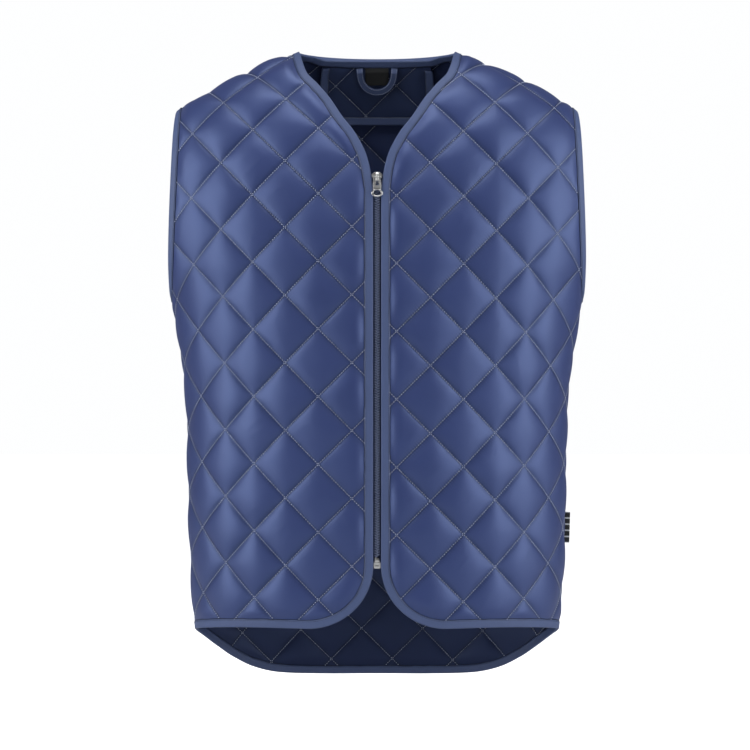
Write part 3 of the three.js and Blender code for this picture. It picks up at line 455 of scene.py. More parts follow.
clothTone, fineWeave, quiltLines = makeClothTone(), makeFineWeave(), makeQuiltLines()


def newMaterial(name, color, roughness, **sockets):
    material = bpy.data.materials.new(name)
    material.use_nodes = True
    add, calc = nodeTools(material.node_tree)
    out = add("ShaderNodeOutputMaterial")
    shader = add("ShaderNodeBsdfPrincipled")
    material.node_tree.links.new(shader.outputs[0], out.inputs[0])
    shader.inputs["Base Color"].default_value = (*color, 1)
    shader.inputs["Roughness"].default_value = roughness
    for title, value in sockets.items():
        shader.inputs[title.replace("_", " ")].default_value = value
    material.diffuse_color = (*color, 1)
    return material, add, calc, shader


def useGroup(add, tree, inputs):
    return add("ShaderNodeGroup", inputs, node_tree=tree)


def makeSatin(name, look):
    material, add, calc, shader = newMaterial(name, look["color"], look["roughness"], Sheen_Weight=look["sheen"],
                                              Sheen_Roughness=look["sheenRoughness"],
                                              Sheen_Tint=(*look["sheenTint"], 1),
                                              Specular_IOR_Level=look["specular"],
                                              Specular_Tint=(*look["specularTint"], 1))
    place = add("ShaderNodeTexCoord")
    quilt = add("ShaderNodeUVMap", uv_map="quilt")
    tone = useGroup(add, clothTone, {"Vector": place.outputs["Object"], "Color": (*look["color"], 1),
                                     "Drift": look["drift"], "Rub": look["rub"]})
    lines = useGroup(add, quiltLines, {"UV": quilt.outputs[0], "Spacing": lineSpacing,
                                       "Stitch": lineSpacing / stitchesPerSquare})
    # painted shade: the base colour darkens along the stitch grooves and at the needle holes between the stitches
    groove = calc("MULTIPLY", lines.outputs["Near"], look["grooveShade"])
    hole = calc("MULTIPLY", lines.outputs["PuckerAndHoleShade"], look["holeShade"])
    dark = calc("SUBTRACT", 1.0, calc("MAXIMUM", groove, hole))
    color = add("ShaderNodeHueSaturation", {"Color": tone.outputs["Color"], "Value": dark})
    rough = calc("ADD", look["roughness"], calc("MULTIPLY", tone.outputs["Shift"], 0.8))
    weave = useGroup(add, fineWeave, {"Vector": place.outputs["Object"], "Pitch": look["weave"]})
    soft = add("ShaderNodeTexNoise", {"Vector": place.outputs["Object"], "Scale": 140.0, "Detail": 4.0,
                                      "Roughness": 0.55})
    height = calc("ADD", calc("MULTIPLY", weave.outputs[0], look["weaveHeight"]),
                  calc("MULTIPLY", soft.outputs[0], look["crumple"]))
    height = calc("SUBTRACT", height, calc("MULTIPLY", lines.outputs["PuckerAndHoleShade"], look["pucker"]))
    bump = add("ShaderNodeBump", {"Height": height, "Strength": 1.0, "Distance": 0.001})
    links = material.node_tree.links
    links.new(color.outputs[0], shader.inputs["Base Color"])
    links.new(rough, shader.inputs["Roughness"])
    links.new(bump.outputs[0], shader.inputs["Normal"])
    return material


def makeTape(name, look):
    material, add, calc, shader = newMaterial(name, look["color"], look["roughness"], Sheen_Weight=look["sheen"],
                                              Sheen_Roughness=0.4, Sheen_Tint=(*look["sheenTint"], 1),
                                              Specular_IOR_Level=look["specular"])
    place = add("ShaderNodeTexCoord")
    run = add("ShaderNodeUVMap", uv_map="run")
    tone = useGroup(add, clothTone, {"Vector": place.outputs["Object"], "Color": (*look["color"], 1),
                                     "Drift": look["drift"], "Rub": look["rub"]})
    parts = add("ShaderNodeSeparateXYZ", {0: run.outputs[0]})
    ribs = calc("SINE", calc("MULTIPLY", parts.outputs[0], 2 * math.pi / look["rib"]))
    cross = calc("SINE", calc("MULTIPLY", parts.outputs[1], 2 * math.pi / look["cross"]))
    weave = calc("ADD", calc("MULTIPLY", ribs, 0.6), calc("MULTIPLY", calc("MULTIPLY", ribs, cross), 0.4))
    shade = calc("ADD", 1.0, calc("MULTIPLY", weave, look["weaveShade"]))
    if look["hem"]:  # painted shadow: the base colour darkens at both free edges and on the thin lip past them, for the shaded gap between tape and panel
        outward = calc("MINIMUM", parts.outputs[1], calc("SUBTRACT", look["hem"], parts.outputs[1]))
        shade = calc("MULTIPLY", shade, calc("MINIMUM", 1.0, calc("MAXIMUM", 0.1, calc("DIVIDE", outward, 1.4))))
    color = add("ShaderNodeHueSaturation", {"Color": tone.outputs["Color"], "Value": shade})
    soft = add("ShaderNodeTexNoise", {"Vector": place.outputs["Object"], "Scale": 260.0, "Detail": 3.0})
    height = calc("ADD", calc("MULTIPLY", weave, look["ribHeight"]),
                  calc("MULTIPLY", soft.outputs[0], look["crumple"]))
    bump = add("ShaderNodeBump", {"Height": height, "Strength": 1.0, "Distance": 0.001})
    rough = calc("ADD", look["roughness"], calc("MULTIPLY", tone.outputs["Shift"], 0.6))
    links = material.node_tree.links
    links.new(color.outputs[0], shader.inputs["Base Color"])
    links.new(rough, shader.inputs["Roughness"])
    links.new(bump.outputs[0], shader.inputs["Normal"])
    return material


satinLook = {"color": (0.026, 0.039, 0.128), "roughness": 0.45, "sheen": 0.08, "sheenRoughness": 0.3,
             "sheenTint": (0.45, 0.55, 1.0), "specular": 1.0, "specularTint": (0.42, 0.56, 1.0), "drift": 0.12,
             "rub": 0.06, "weave": 0.0006, "weaveHeight": 0.015, "crumple": 0.06, "pucker": 0.3, "grooveShade": 0.62,
             "holeShade": 0.97}
# painted shade: the lining and the neck facing are the shell's satin with darker colours, for the shade inside the
# gilet
shadedLiningLook = dict(satinLook, color=(0.013, 0.019, 0.056), sheen=0.05, specular=0.5, roughness=0.45)
# the tape's blue is its own navy raised to make up for the sheen and specular turned down: partly painted sheen
tapeLook = {"color": (0.064, 0.092, 0.2), "roughness": 0.5, "sheen": 0.0, "sheenTint": (0.5, 0.6, 1.0),
            "specular": 0.3, "drift": 0.12, "rub": 0.1, "rib": 0.9, "cross": 0.7, "weaveShade": 0.06,
            "ribHeight": 0.04, "crumple": 0.12, "hem": 22 * 1.4}
zipTapeLook = dict(tapeLook, hem=0, color=(0.009, 0.013, 0.04), roughness=0.75, sheen=0.1, specular=0.25, rib=0.8,
                   weaveShade=0.2, ribHeight=0.09)
labelLook = dict(tapeLook, hem=0, color=(0.016, 0.017, 0.019), roughness=0.7, sheen=0.05, specular=0.25, rib=0.5,
                 weaveShade=0.1, ribHeight=0.03)
# the quilting thread's pale blue-grey is partly its own lighter navy and partly painted highlight for the glints on
# the stitches
threadLook = dict(tapeLook, color=(0.5, 0.56, 0.74), specular=0.3, hem=0)

satin = makeSatin("satinShell", satinLook)
lining = makeSatin("satinLiningShaded", shadedLiningLook)
facingSatin = makeSatin("satinFacingShaded", dict(shadedLiningLook, color=(0.024, 0.035, 0.09), specular=0.9))
bindingCloth = makeTape("bindingTape", tapeLook)
loopCloth = makeTape("loopTape", dict(tapeLook, hem=0))
zipCloth = makeTape("zipTapeCloth", zipTapeLook)
labelCloth = makeTape("labelCloth", labelLook)
threadCloth = makeTape("sewingThread", threadLook)
# the binding stitches are real, their near black colour is painted shade for the dark gap beside the tape's free edge
shadedBindingThread = makeTape("bindingThread", dict(threadLook, color=(0.01, 0.014, 0.035)))


def makeMetal():
    material, add, calc, shader = newMaterial("castMetal", (0.6, 0.605, 0.61), 0.22, Metallic=1.0)
    place = add("ShaderNodeTexCoord")
    grain = add("ShaderNodeTexNoise", {"Vector": place.outputs["Object"], "Scale": 900.0, "Detail": 3.0})
    worn = add("ShaderNodeTexNoise", {"Vector": place.outputs["Object"], "Scale": 160.0, "Detail": 2.0})
    rough = calc("ADD", 0.17, calc("MULTIPLY", worn.outputs[0], 0.16))
    bump = add("ShaderNodeBump", {"Height": grain.outputs[0], "Strength": 0.25, "Distance": 0.0001})
    links = material.node_tree.links
    links.new(rough, shader.inputs["Roughness"])
    links.new(bump.outputs[0], shader.inputs["Normal"])
    return material


def makeCoilPlastic():
    material, add, calc, shader = newMaterial("coilPlastic", (0.15, 0.19, 0.33), 0.3, Specular_IOR_Level=0.8)
    place = add("ShaderNodeTexCoord")
    tone = useGroup(add, clothTone, {"Vector": place.outputs["Object"], "Color": (0.15, 0.19, 0.33, 1),
                                     "Drift": 0.3, "Rub": 0.5})
    rough = calc("ADD", 0.3, calc("MULTIPLY", tone.outputs["Shift"], 0.5))
    links = material.node_tree.links
    links.new(tone.outputs["Color"], shader.inputs["Base Color"])
    links.new(rough, shader.inputs["Roughness"])
    return material


metal, coilPlastic = makeMetal(), makeCoilPlastic()
print("stage: materials made")

# Quilted panels
panelLook = {
    "cells": 24,  # grid steps between two stitch lines
    "outerPuff": 5.4, "innerPuff": 3.0,
    "roundness": 2.2, "fullness": 0.74,
    "slowFold": 1.0, "crease": 0.35, "pucker": 0.26,
    "bindingReach": 9.2, "recover": 15.0,
}


def pillow(a, b):
    nearA, nearB = 2 * np.abs(a - np.round(a)), 2 * np.abs(b - np.round(b))
    crown = (1 - (1 - nearA) ** panelLook["roundness"]) * (1 - (1 - nearB) ** panelLook["roundness"])
    return crown ** panelLook["fullness"], nearA, nearB


def foldsAt(u, v, a, b, nearA, nearB, crown, seed):
    slow = softNoise(u / 60, v / 60, seed) + 0.5 * softNoise(u / 28, v / 28, seed + 1)
    turnU, turnV = 0.8 * u + 0.6 * v, 0.8 * v - 0.6 * u
    ridge = (1 - np.abs(softNoise(turnU / 34, turnV / 13, seed + 2))) ** 5
    ridge *= np.clip(softNoise(u / 45, v / 45, seed + 3) * 2, 0, 1)
    side = 0.5 * lineSpacing
    puckerA = softNoise(b * lineSpacing / 5.5, np.round(a) * 5.3, seed + 4) * np.exp(-nearA * side / 5)
    puckerB = softNoise(a * lineSpacing / 5.5, np.round(b) * 5.3, seed + 5) * np.exp(-nearB * side / 5)
    pucker = (puckerA * (nearA > 0.02) + puckerB * (nearB > 0.02)) * np.minimum(np.minimum(nearA, nearB) * 8, 1)
    return (panelLook["slowFold"] * slow * crown + panelLook["crease"] * ridge * crown
            + panelLook["pucker"] * pucker)


def quiltedPanel(name, face, outline, start, layers, materials, seed):
    cells = panelLook["cells"]
    corners = quiltCoordinates(start, outline["u"], outline["v"])
    low = [math.floor(c.min() * cells) for c in corners]
    high = [math.ceil(c.max() * cells) for c in corners]
    i, j = np.meshgrid(np.arange(low[0], high[0] + 1), np.arange(low[1], high[1] + 1), indexing="ij")
    u, v = fromQuilt(start, i.reshape(-1) / cells, j.reshape(-1) / cells)
    keep = (u > outline["u"].min()) & (u < outline["u"].max()) & (v > outline["v"].min()) & (v < outline["v"].max())
    u, v = u[keep], v[keep]
    keep = insideOutline(outline, u, v)
    u, v = u[keep], v[keep]
    edgePoints = np.stack([outline["u"], outline["v"]], -1)
    away = nearestDistance(edgePoints, u, v)
    u, v = u[away > 1.5], v[away > 1.5]
    count = len(outline["u"])
    u, v = np.concatenate([outline["u"], u]), np.concatenate([outline["v"], v])
    flat = [Vector((a, b)) for a, b in zip(u, v)]
    faces, origin = delaunay_2d_cdt(flat, [], [list(range(count))], 1, 1e-5, True)[2:4]
    mapped = np.array([o[0] if o else 0 for o in origin])
    faces = mapped[np.array(faces)]
    faces = faces[insideOutline(outline, u[faces].mean(1), v[faces].mean(1))]
    a, b = quiltCoordinates(start, u, v)
    crown, nearA, nearB = pillow(a, b)
    bound = np.array([edge != "seam" for edge in outline["edge"]])
    sewn = nearestDistance(edgePoints[bound], u, v) if bound.any() else np.full(len(u), 1e3)
    seam = nearestDistance(edgePoints[~bound], u, v) if (~bound).any() else np.full(len(u), 1e3)
    ease = 1 - (1 - np.clip((sewn - panelLook["bindingReach"]) / panelLook["recover"], 0, 1)) ** 2.4
    ease *= 1 - (1 - np.clip(seam / panelLook["recover"], 0, 1)) ** 2.4
    folds = foldsAt(u, v, a, b, nearA, nearB, crown, seed)
    point, normal = clothPlace(face, u, v)
    shells = []
    for layer in layers:
        hold = layer["hold"](u, v)
        rise = layer["base"] + layer["puff"] * ease * hold * crown + np.sign(layer["puff"]) * ease * hold * folds
        shells.append(point + normal * rise[:, None])
    size = len(u)
    p = np.stack([u, v], -1)[faces]
    turn = ((p[:, 1, 0] - p[:, 0, 0]) * (p[:, 2, 1] - p[:, 0, 1])
            - (p[:, 2, 0] - p[:, 0, 0]) * (p[:, 1, 1] - p[:, 0, 1])) > 0
    upward = turn if face == "front" else ~turn  # the back's map runs the other way round
    outer = np.where(upward[:, None], faces, faces[:, ::-1])
    inner = outer[:, ::-1] + size
    ring = np.arange(count)
    following = np.roll(ring, -1)
    area = (outline["u"] * np.roll(outline["v"], -1) - np.roll(outline["u"], -1) * outline["v"]).sum()
    if (area > 0) != (face == "front"):
        ring, following = following, ring
    wall = np.concatenate([np.stack([ring, ring + size, following + size], -1),
                           np.stack([ring, following + size, following], -1)])
    everyFace = np.concatenate([outer, inner, wall])
    slots = np.concatenate([np.zeros(len(outer)), np.ones(len(inner) + len(wall))])
    uv = np.stack([a, b], -1)
    piece = makeMesh(name + "_cloth", np.concatenate(shells), everyFace, materials, slots, np.concatenate([uv, uv]))
    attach(piece, "vest")
    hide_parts(name)
    print("stage:", name, len(everyFace), "triangles")
    surface = {"face": face, "start": start, "outline": outline}
    return piece, surface


def everywhere(u, v):
    return np.ones(len(u))


backNeck = float(flatHeight("back", 0.0, form["backNeckRise"]))
facingSize = {"half": 71, "length": 81, "corner": 24, "outer": -3.7, "inner": -4.7, "clear": 0.8}


def behindFacing(u, v):
    past = np.maximum(np.abs(u) - facingSize["half"] - 12, backNeck - facingSize["length"] - 12 - v)
    return np.clip(past / 24, 0, 1)


def flatterSides(u, v):
    return 1 - 0.5 * np.clip((np.abs(u) - 140) / 100, 0, 1)


shellLayer = {"base": form["pressed"], "puff": panelLook["outerPuff"], "hold": flatterSides}
liningLayer = {"base": -form["pressed"], "puff": -panelLook["innerPuff"], "hold": everywhere}
surfaces = {}
for name, face, outline, start, inside, seed in (
        ("front_panel_left", "front", frontOutline, quiltStart["left"], everywhere, 3),
        ("front_panel_right", "front", mirrorOutline(frontOutline), quiltStart["right"], everywhere, 17),
        ("back_panel", "back", backOutline, quiltStart["back"], behindFacing, 29)):
    panel, surfaces[name] = quiltedPanel(name, face, outline, start, (shellLayer, dict(liningLayer, hold=inside)),
                                         (satin, lining), seed)


def facingOutline():
    half, corner, foot = facingSize["half"], facingSize["corner"], backNeck - facingSize["length"]
    neckU = np.linspace(-half, half, 58)
    reach = float(sideAlong("back", 0.0)) - halfGap
    neckV = flatHeight("back", neckU, backNeckEdge(np.abs(neckU) / reach)[1])
    top = neckV[-1]
    down = np.linspace(top, foot + corner, 20)[1:-1]
    angle = np.linspace(0, math.pi / 2, 18)
    turnU, turnV = half - corner * (1 - np.cos(angle)), foot + corner * (1 - np.sin(angle))
    bottom = np.linspace(half - corner, corner - half, 36)[1:-1]
    u = np.concatenate([neckU, half + 0 * down, turnU, bottom, -turnU[::-1], -half + 0 * down])
    v = np.concatenate([neckV, down, turnV, foot + 0 * bottom, turnV[::-1], down[::-1]])
    covered = 14.4  # the neck tape hides this much of the sides
    edge = ["neck" if k < len(neckU) or v[k] > top - covered else "facing" for k in range(len(u))]
    return {"u": u, "v": v, "edge": edge}


facing = facingOutline()
facingLayers = ({"base": facingSize["outer"], "puff": 0.0, "hold": everywhere},
                {"base": facingSize["inner"], "puff": -2.3, "hold": everywhere})
facingPiece, surfaces["neck_facing"] = quiltedPanel("neck_facing", "back", facing, quiltStart["facing"], facingLayers,
                                                    (lining, facingSatin), 41)
print("stage: panels made")

# Folded tapes
tapeShape = {"width": 8.0, "seam": 1.3, "leaf": 1.15, "thickness": 0.7, "edge": 1.0, "corner": 4.5, "wave": 0.25,
             "stitchAt": 7.2, "rowStep": 1.4}


def edgeRun(outline, names):
    count = len(outline["u"])
    bound = [edge in names for edge in outline["edge"]]
    inU, inV = inwardsOf(outline)
    first = next(k for k in range(count) if bound[k] and not bound[k - 1])
    size = next(k for k in range(count) if not bound[(first + k) % count])
    index = (first + np.arange(size + 1)) % count
    u, v, inU, inV = outline["u"][index], outline["v"][index], inU[index].copy(), inV[index].copy()

    def aim(k, other):
        du, dv = outline["u"][other] - u[k], outline["v"][other] - v[k]
        inU[k], inV[k] = du / math.hypot(du, dv), dv / math.hypot(du, dv)
    aim(0, (first - 1) % count)
    aim(-1, (index[-1] + 1) % count)
    return {"u": u, "v": v, "inU": inU, "inV": inV}


def bandPoints(width, reach):  # across the outer leaf, round the fold and back along the inner leaf
    leaf = [(width, 0.35), (width - 0.35, 0.8), (width - 1.2, 1.0), (width - 2.6, 0.97), (width - 4.2, 1.0),
            (width - 5.8, 1.02), (width - 7.2, 1.0)]
    fold = [(-reach * math.sin(s), math.cos(s)) for s in np.linspace(0.25, math.pi - 0.25, 7)]
    return leaf, fold


def sweepBand(face, run, outer, inner, seed, roundEnds=0):
    size = len(run["u"])
    outer, inner = np.broadcast_to(outer, size), np.broadcast_to(inner, size)
    reach, corner, thick = tapeShape["edge"] + 0.2, tapeShape["corner"], tapeShape["thickness"]
    leaf, fold = bandPoints(tapeShape["width"], reach)
    length = np.concatenate([[0], np.cumsum(np.hypot(np.diff(run["u"]), np.diff(run["v"])))])
    wave = tapeShape["wave"] * softNoise(length / 9, seed + 0 * length, seed)
    ripple = 0.12 * softNoise(length / 3.1, seed + 0 * length, seed + 1)
    middle, half = (outer + inner) / 2, (outer - inner) / 2
    turn = np.clip(1 - np.minimum(length, length[-1] - length) / corner, 0, 1) * (run["v"] > -60) * roundEnds
    rounded = corner * (1 - np.sqrt(1 - turn ** 2))

    def place(e, h):
        e = np.maximum(e, rounded - reach + 0.15 * (e + reach))
        return wrap(face, run["u"] + run["inU"] * e, run["v"] + run["inV"] * e, h)

    # the skin begins and ends in a thin lip past the tape's width, which the tape's material paints dark: a painted
    # shadow sheet for the gap beside the free edges
    seam = tapeShape["width"] + tapeShape["seam"]
    skin = ([(seam + wave, outer + 0.12)]
            + [(e + wave * (e > 4), outer + thick * s + ripple * min(e / 8, 1)) for e, s in leaf]
            + [(e, middle + (half + thick) * c) for e, c in fold]
            + [(e - wave * (e > 4), inner - thick * s) for e, s in leaf[::-1]]
            + [(seam - wave, inner - 0.12)])
    hide = ([(tapeShape["width"] - 0.3, inner), (3.0, inner), (-0.4, inner * 0.6 + outer * 0.4),
             (-0.4, outer * 0.6 + inner * 0.4), (3.0, outer), (tapeShape["width"] - 0.3, outer)])
    rows = [place(e, h) for e, h in skin + hide]
    return np.stack(rows, 1), length, np.arange(len(rows)) * tapeShape["rowStep"]


def bandMesh(name, sections, length, across, material, closed):
    stations, points = sections.shape[:2]
    index = np.arange(stations * points).reshape(stations, points)
    a = index if closed else index[:-1]
    b = np.roll(index, -1, 0) if closed else index[1:]
    quads = np.stack([a, np.roll(a, -1, 1), np.roll(b, -1, 1), b], -1).reshape(-1, 4)
    everyFace = list(quads)
    if not closed:
        everyFace += [index[0][::-1], index[-1]]
    uv = np.stack([np.repeat(length, points), np.tile(across, stations)], -1)
    piece = makeMesh(name + "_cloth", sections.reshape(-1, 3), everyFace, [material], None, uv, "run")
    # faces point outwards: the enclosed volume has to be positive
    center = sections.mean((0, 1))
    volume = 0
    for half in ([0, 1, 2], [0, 2, 3]):
        triangle = sections.reshape(-1, 3)[quads[:, half]] - center
        volume += (np.cross(triangle[:, 0], triangle[:, 1]) * triangle[:, 2]).sum()
    if volume < 0:
        piece.data.flip_normals()
    return piece


def finishBand(piece, name):
    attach(piece, "vest")
    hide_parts(name)


leaf = tapeShape["leaf"]
frontRun = edgeRun(frontOutline, ["bound"])
frontSections, frontLength, bandAcross = sweepBand("front", frontRun, leaf, -leaf, 51, 1)
mirror = np.array([-1, 1, 1])
for side, sections in (("left", frontSections), ("right", frontSections * mirror)):
    piece = bandMesh("edge_binding_" + side, sections, frontLength, bandAcross, bindingCloth, False)
    finishBand(piece, "edge_binding_" + side)
tailRun = edgeRun(backOutline, ["tail"])
tailSections, tailLength, _ = sweepBand("back", tailRun, leaf, -leaf, 57)
finishBand(bandMesh("tail_binding", tailSections, tailLength, bandAcross, bindingCloth, False), "tail_binding")
neckRun = edgeRun(backOutline, ["neck"])
besideFacing = np.clip((np.abs(neckRun["u"]) - facingSize["half"] - 2) / 14, 0, 1)
neckInner = (facingSize["inner"] - facingSize["clear"]) * (1 - besideFacing) - leaf * besideFacing
neckSections, neckLength, _ = sweepBand("back", neckRun, leaf, neckInner, 61, 1)
finishBand(bandMesh("neck_binding", neckSections, neckLength, bandAcross, bindingCloth, False), "neck_binding")
armFront = edgeRun(frontOutline, ["armhole"])
armBack = edgeRun(backOutline, ["armholeLeft"])
armSections, armLength, _ = sweepBand("front", armFront, leaf, -leaf, 67)
backSections, backLength, _ = sweepBand("back", armBack, leaf, -leaf, 71)
ringSections = np.concatenate([armSections, backSections[1:-1][::-1]])
ringLength = np.concatenate([armLength, armLength[-1] + (backLength[-1] - backLength[1:-1][::-1])])
for side, sections in (("left", ringSections), ("right", ringSections * mirror)):
    piece = bandMesh("armhole_binding_" + side, sections, ringLength, bandAcross, bindingCloth, True)
    finishBand(piece, "armhole_binding_" + side)
facingRun = edgeRun(facing, ["facing"])
facingRun["inU"][0], facingRun["inV"][0] = -1, 0
facingRun["inU"][-1], facingRun["inV"][-1] = 1, 0
facingSections, facingLength, _ = sweepBand("back", facingRun, facingSize["outer"] + facingSize["clear"],
                                            facingSize["inner"] - facingSize["clear"], 73)
facingBand = bandMesh("facing_binding", facingSections, facingLength, bandAcross, bindingCloth, False)
finishBand(facingBand, "facing_binding")
print("stage: bindings made")

# Stitches: one small bowed length of thread, copied along each sewn line
threadShape = {"length": 1.5, "radius": 0.42, "bandPitch": 2.5, "bandLength": 1.8, "bandRadius": 0.24}


def stitchMesh(name, places, along, normals, length, radius, material):
    across = np.cross(normals, along)
    across /= np.linalg.norm(across, axis=1, keepdims=True)
    shape = [(-0.5 * length, 0, -0.8 * radius)]
    for at, lift in ((-0.33, 0.0), (0.0, 0.35 * radius), (0.33, 0.0)):
        for turn in (0.25, 0.75, 1.25, 1.75):
            shape.append((at * length, radius * math.cos(turn * math.pi), lift + radius * math.sin(turn * math.pi)))
    shape.append((0.5 * length, 0, -0.8 * radius))
    shape = np.array(shape)
    faces = [(0, 2, 1), (0, 3, 2), (0, 4, 3), (0, 1, 4)]
    for ring in (1, 5):
        for k in range(4):
            a, b = ring + k, ring + (k + 1) % 4
            faces += [(a, b, b + 4), (a, b + 4, a + 4)]
    faces += [(9, 10, 13), (10, 11, 13), (11, 12, 13), (12, 9, 13)]
    faces = np.array(faces)
    spots = (places[:, None, :] + shape[None, :, 0:1] * along[:, None, :] + shape[None, :, 1:2] * across[:, None, :]
             + shape[None, :, 2:3] * normals[:, None, :])
    everyFace = (faces[None] + (np.arange(len(places)) * len(shape))[:, None, None]).reshape(-1, 3)
    index = np.repeat(np.arange(len(places)), len(shape))
    uv = np.stack([np.tile(shape[:, 0], len(places)), index * 3.1 + np.tile(shape[:, 1], len(places))], -1)
    piece = makeMesh(name, spots.reshape(-1, 3), everyFace, [material], None, uv, "run")
    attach(piece, "vest")
    return piece


def quiltStitches(name, surface, height, keep, side=1):
    face, start, outline = surface["face"], surface["start"], surface["outline"]
    corners = quiltCoordinates(start, outline["u"], outline["v"])
    limits = [(math.floor(c.min()), math.ceil(c.max())) for c in corners]
    spots = []
    for line in (0, 1):
        fixed, free = limits[line], limits[1 - line]
        count = stitchesPerSquare
        steps = np.arange((free[1] - free[0]) * count) / count + 0.5 / count + free[0]
        for n in range(fixed[0], fixed[1] + 1):
            pair = (np.full(len(steps), float(n)), steps) if line == 0 else (steps, np.full(len(steps), float(n)))
            u, v = fromQuilt(start, *pair)
            direction = (0.5, -0.5) if line == 0 else (0.5, 0.5)
            spots.append(np.stack([u, v, np.full(len(u), direction[0]), np.full(len(u), direction[1])], -1))
    spots = np.concatenate(spots)
    spots = spots[insideOutline(outline, spots[:, 0], spots[:, 1])]
    edge = np.stack([outline["u"], outline["v"]], -1)
    bound = np.array([kind != "seam" for kind in outline["edge"]])
    far = nearestDistance(edge[bound], spots[:, 0], spots[:, 1]) > 8.5
    if (~bound).any():
        far &= nearestDistance(edge[~bound], spots[:, 0], spots[:, 1]) > 1.5
    spots = spots[far & keep(spots[:, 0], spots[:, 1])]
    point, normal = clothPlace(face, spots[:, 0], spots[:, 1])
    ahead = clothPlace(face, spots[:, 0] + spots[:, 2], spots[:, 1] + spots[:, 3])[0]
    along = ahead - point
    along /= np.linalg.norm(along, axis=1, keepdims=True)
    return stitchMesh(name, point + normal * height, along, normal * side, threadShape["length"],
                      threadShape["radius"], threadCloth)


def lowOrHigh(u, v):  # the middle of the lining is never seen
    return (v < -540) | (v > -260)


def always(u, v):
    return np.ones(len(u), bool)


for name in ("front_panel_left", "front_panel_right", "back_panel"):
    quiltStitches(name + "_stitches", surfaces[name], form["pressed"] + 0.2, always)
quiltStitches("back_lining_stitches", surfaces["back_panel"], -form["pressed"] - 0.2, lowOrHigh, -1)
quiltStitches("neck_facing_stitches", surfaces["neck_facing"], facingSize["inner"] - 0.2, always, -1)


def bandStitches(name, runs):
    places, alongs, normals = [], [], []
    for face, run, height, side in runs:
        u = run["u"] + run["inU"] * tapeShape["stitchAt"]
        v = run["v"] + run["inV"] * tapeShape["stitchAt"]
        length = np.concatenate([[0], np.cumsum(np.hypot(np.diff(u), np.diff(v)))])
        at = np.arange(threadShape["bandPitch"], length[-1] - 1, threadShape["bandPitch"])
        level = np.interp(at, length, np.broadcast_to(height, len(u)))
        u, v = np.interp(at, length, u), np.interp(at, length, v)
        point, normal = clothPlace(face, u, v)
        step = np.gradient(point, axis=0)
        places.append(point + normal * level[:, None])
        alongs.append(step / np.linalg.norm(step, axis=1, keepdims=True))
        normals.append(normal * side)
    places, alongs, normals = np.concatenate(places), np.concatenate(alongs), np.concatenate(normals)
    return stitchMesh(name, places, alongs, normals, threadShape["bandLength"], threadShape["bandRadius"], shadedBindingThread)


def mirrorRun(run):
    return {key: -value if key in ("u", "inU") else value for key, value in run.items()}


proud = leaf + tapeShape["thickness"] + 0.02
bandStitches("edge_binding_stitches", [("front", frontRun, proud, 1), ("front", mirrorRun(frontRun), proud, 1)])
bandStitches("armhole_binding_stitches", [("front", armFront, proud, 1), ("front", mirrorRun(armFront), proud, 1),
                                          ("back", armBack, proud, 1), ("back", mirrorRun(armBack), proud, 1)])
bandStitches("tail_binding_stitches", [("back", tailRun, proud, 1), ("back", tailRun, -proud, -1)])
bandStitches("neck_binding_stitches", [("back", neckRun, proud, 1),
                                       ("back", neckRun, neckInner - tapeShape["thickness"] - 0.02, -1)])
bandStitches("facing_binding_stitches", [("back", facingRun, facingSize["inner"] - facingSize["clear"]
                                          - tapeShape["thickness"] - 0.02, -1)])
print("stage: stitches made")

# Hanger loop and labels
loopShape = {"half": 22.5, "length": 43.5, "width": 8.4, "thickness": 1.2, "steps": 72}
strapTop = backNeck - tapeShape["width"] - 0.3
strapHeight = facingSize["inner"] - 0.3
facingFront = facingSize["inner"] - 2.4


def sweepStrip(name, sections, material, closed=False):  # sections: places along the strip, each a ring of points
    length = np.concatenate([[0], np.cumsum(np.linalg.norm(np.diff(sections.mean(1), axis=0), axis=1))])
    across = np.concatenate([[0], np.cumsum(np.linalg.norm(np.diff(sections[0], axis=0), axis=1))])
    return bandMesh(name, sections, length, across, material, closed)


def roundedStrap(width, thickness):  # across and depth of a flat strap with soft edges
    half, e = width / 2, thickness / 2
    return [(-half, 0.5), (-half + 0.12 * e, 0.2), (-half + e, 0), (-half * 0.5, -0.04), (0, -0.02),
            (half * 0.5, -0.04), (half - e, 0), (half - 0.12 * e, 0.2), (half, 0.5), (half - 0.12 * e, 0.8),
            (half - e, 1), (half * 0.5, 1.05), (0, 1.02), (-half * 0.5, 1.05), (-half + e, 1),
            (-half + 0.12 * e, 0.8)]


def hangerLoop():
    depth = loopShape["length"] - tapeShape["width"] - 0.3 - loopShape["width"] / 2
    bottom = facingFront - 1 - 0.9
    angle = np.linspace(0, math.pi, loopShape["steps"] + 1)
    u = -loopShape["half"] * np.cos(angle)
    v = strapTop - depth * np.sin(angle) ** 0.8
    squareU, squareV = depth * np.cos(angle), loopShape["half"] * np.sin(angle)
    size = np.hypot(squareU, squareV)
    squareU, squareV = squareU / size, squareV / size
    squareU[0], squareU[-1], squareV[0], squareV[-1] = 1, -1, 0, 0
    height = strapHeight + (bottom - strapHeight) * np.minimum((strapTop - v) / 5, 1)
    height = height + 0.5 * softNoise(angle * 3, angle * 0, 81) * np.sin(angle)
    rows = [wrap("back", u + a * squareU, v + a * squareV, height - d * loopShape["thickness"])
            for a, d in roundedStrap(loopShape["width"], loopShape["thickness"])]
    return np.stack(rows, 1), (u, v, squareU, squareV, height)


loopSections, loopPath = hangerLoop()
hanger = sweepStrip("hanger_loop", loopSections, loopCloth)
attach(hanger, "vest")
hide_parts("hanger_loop")


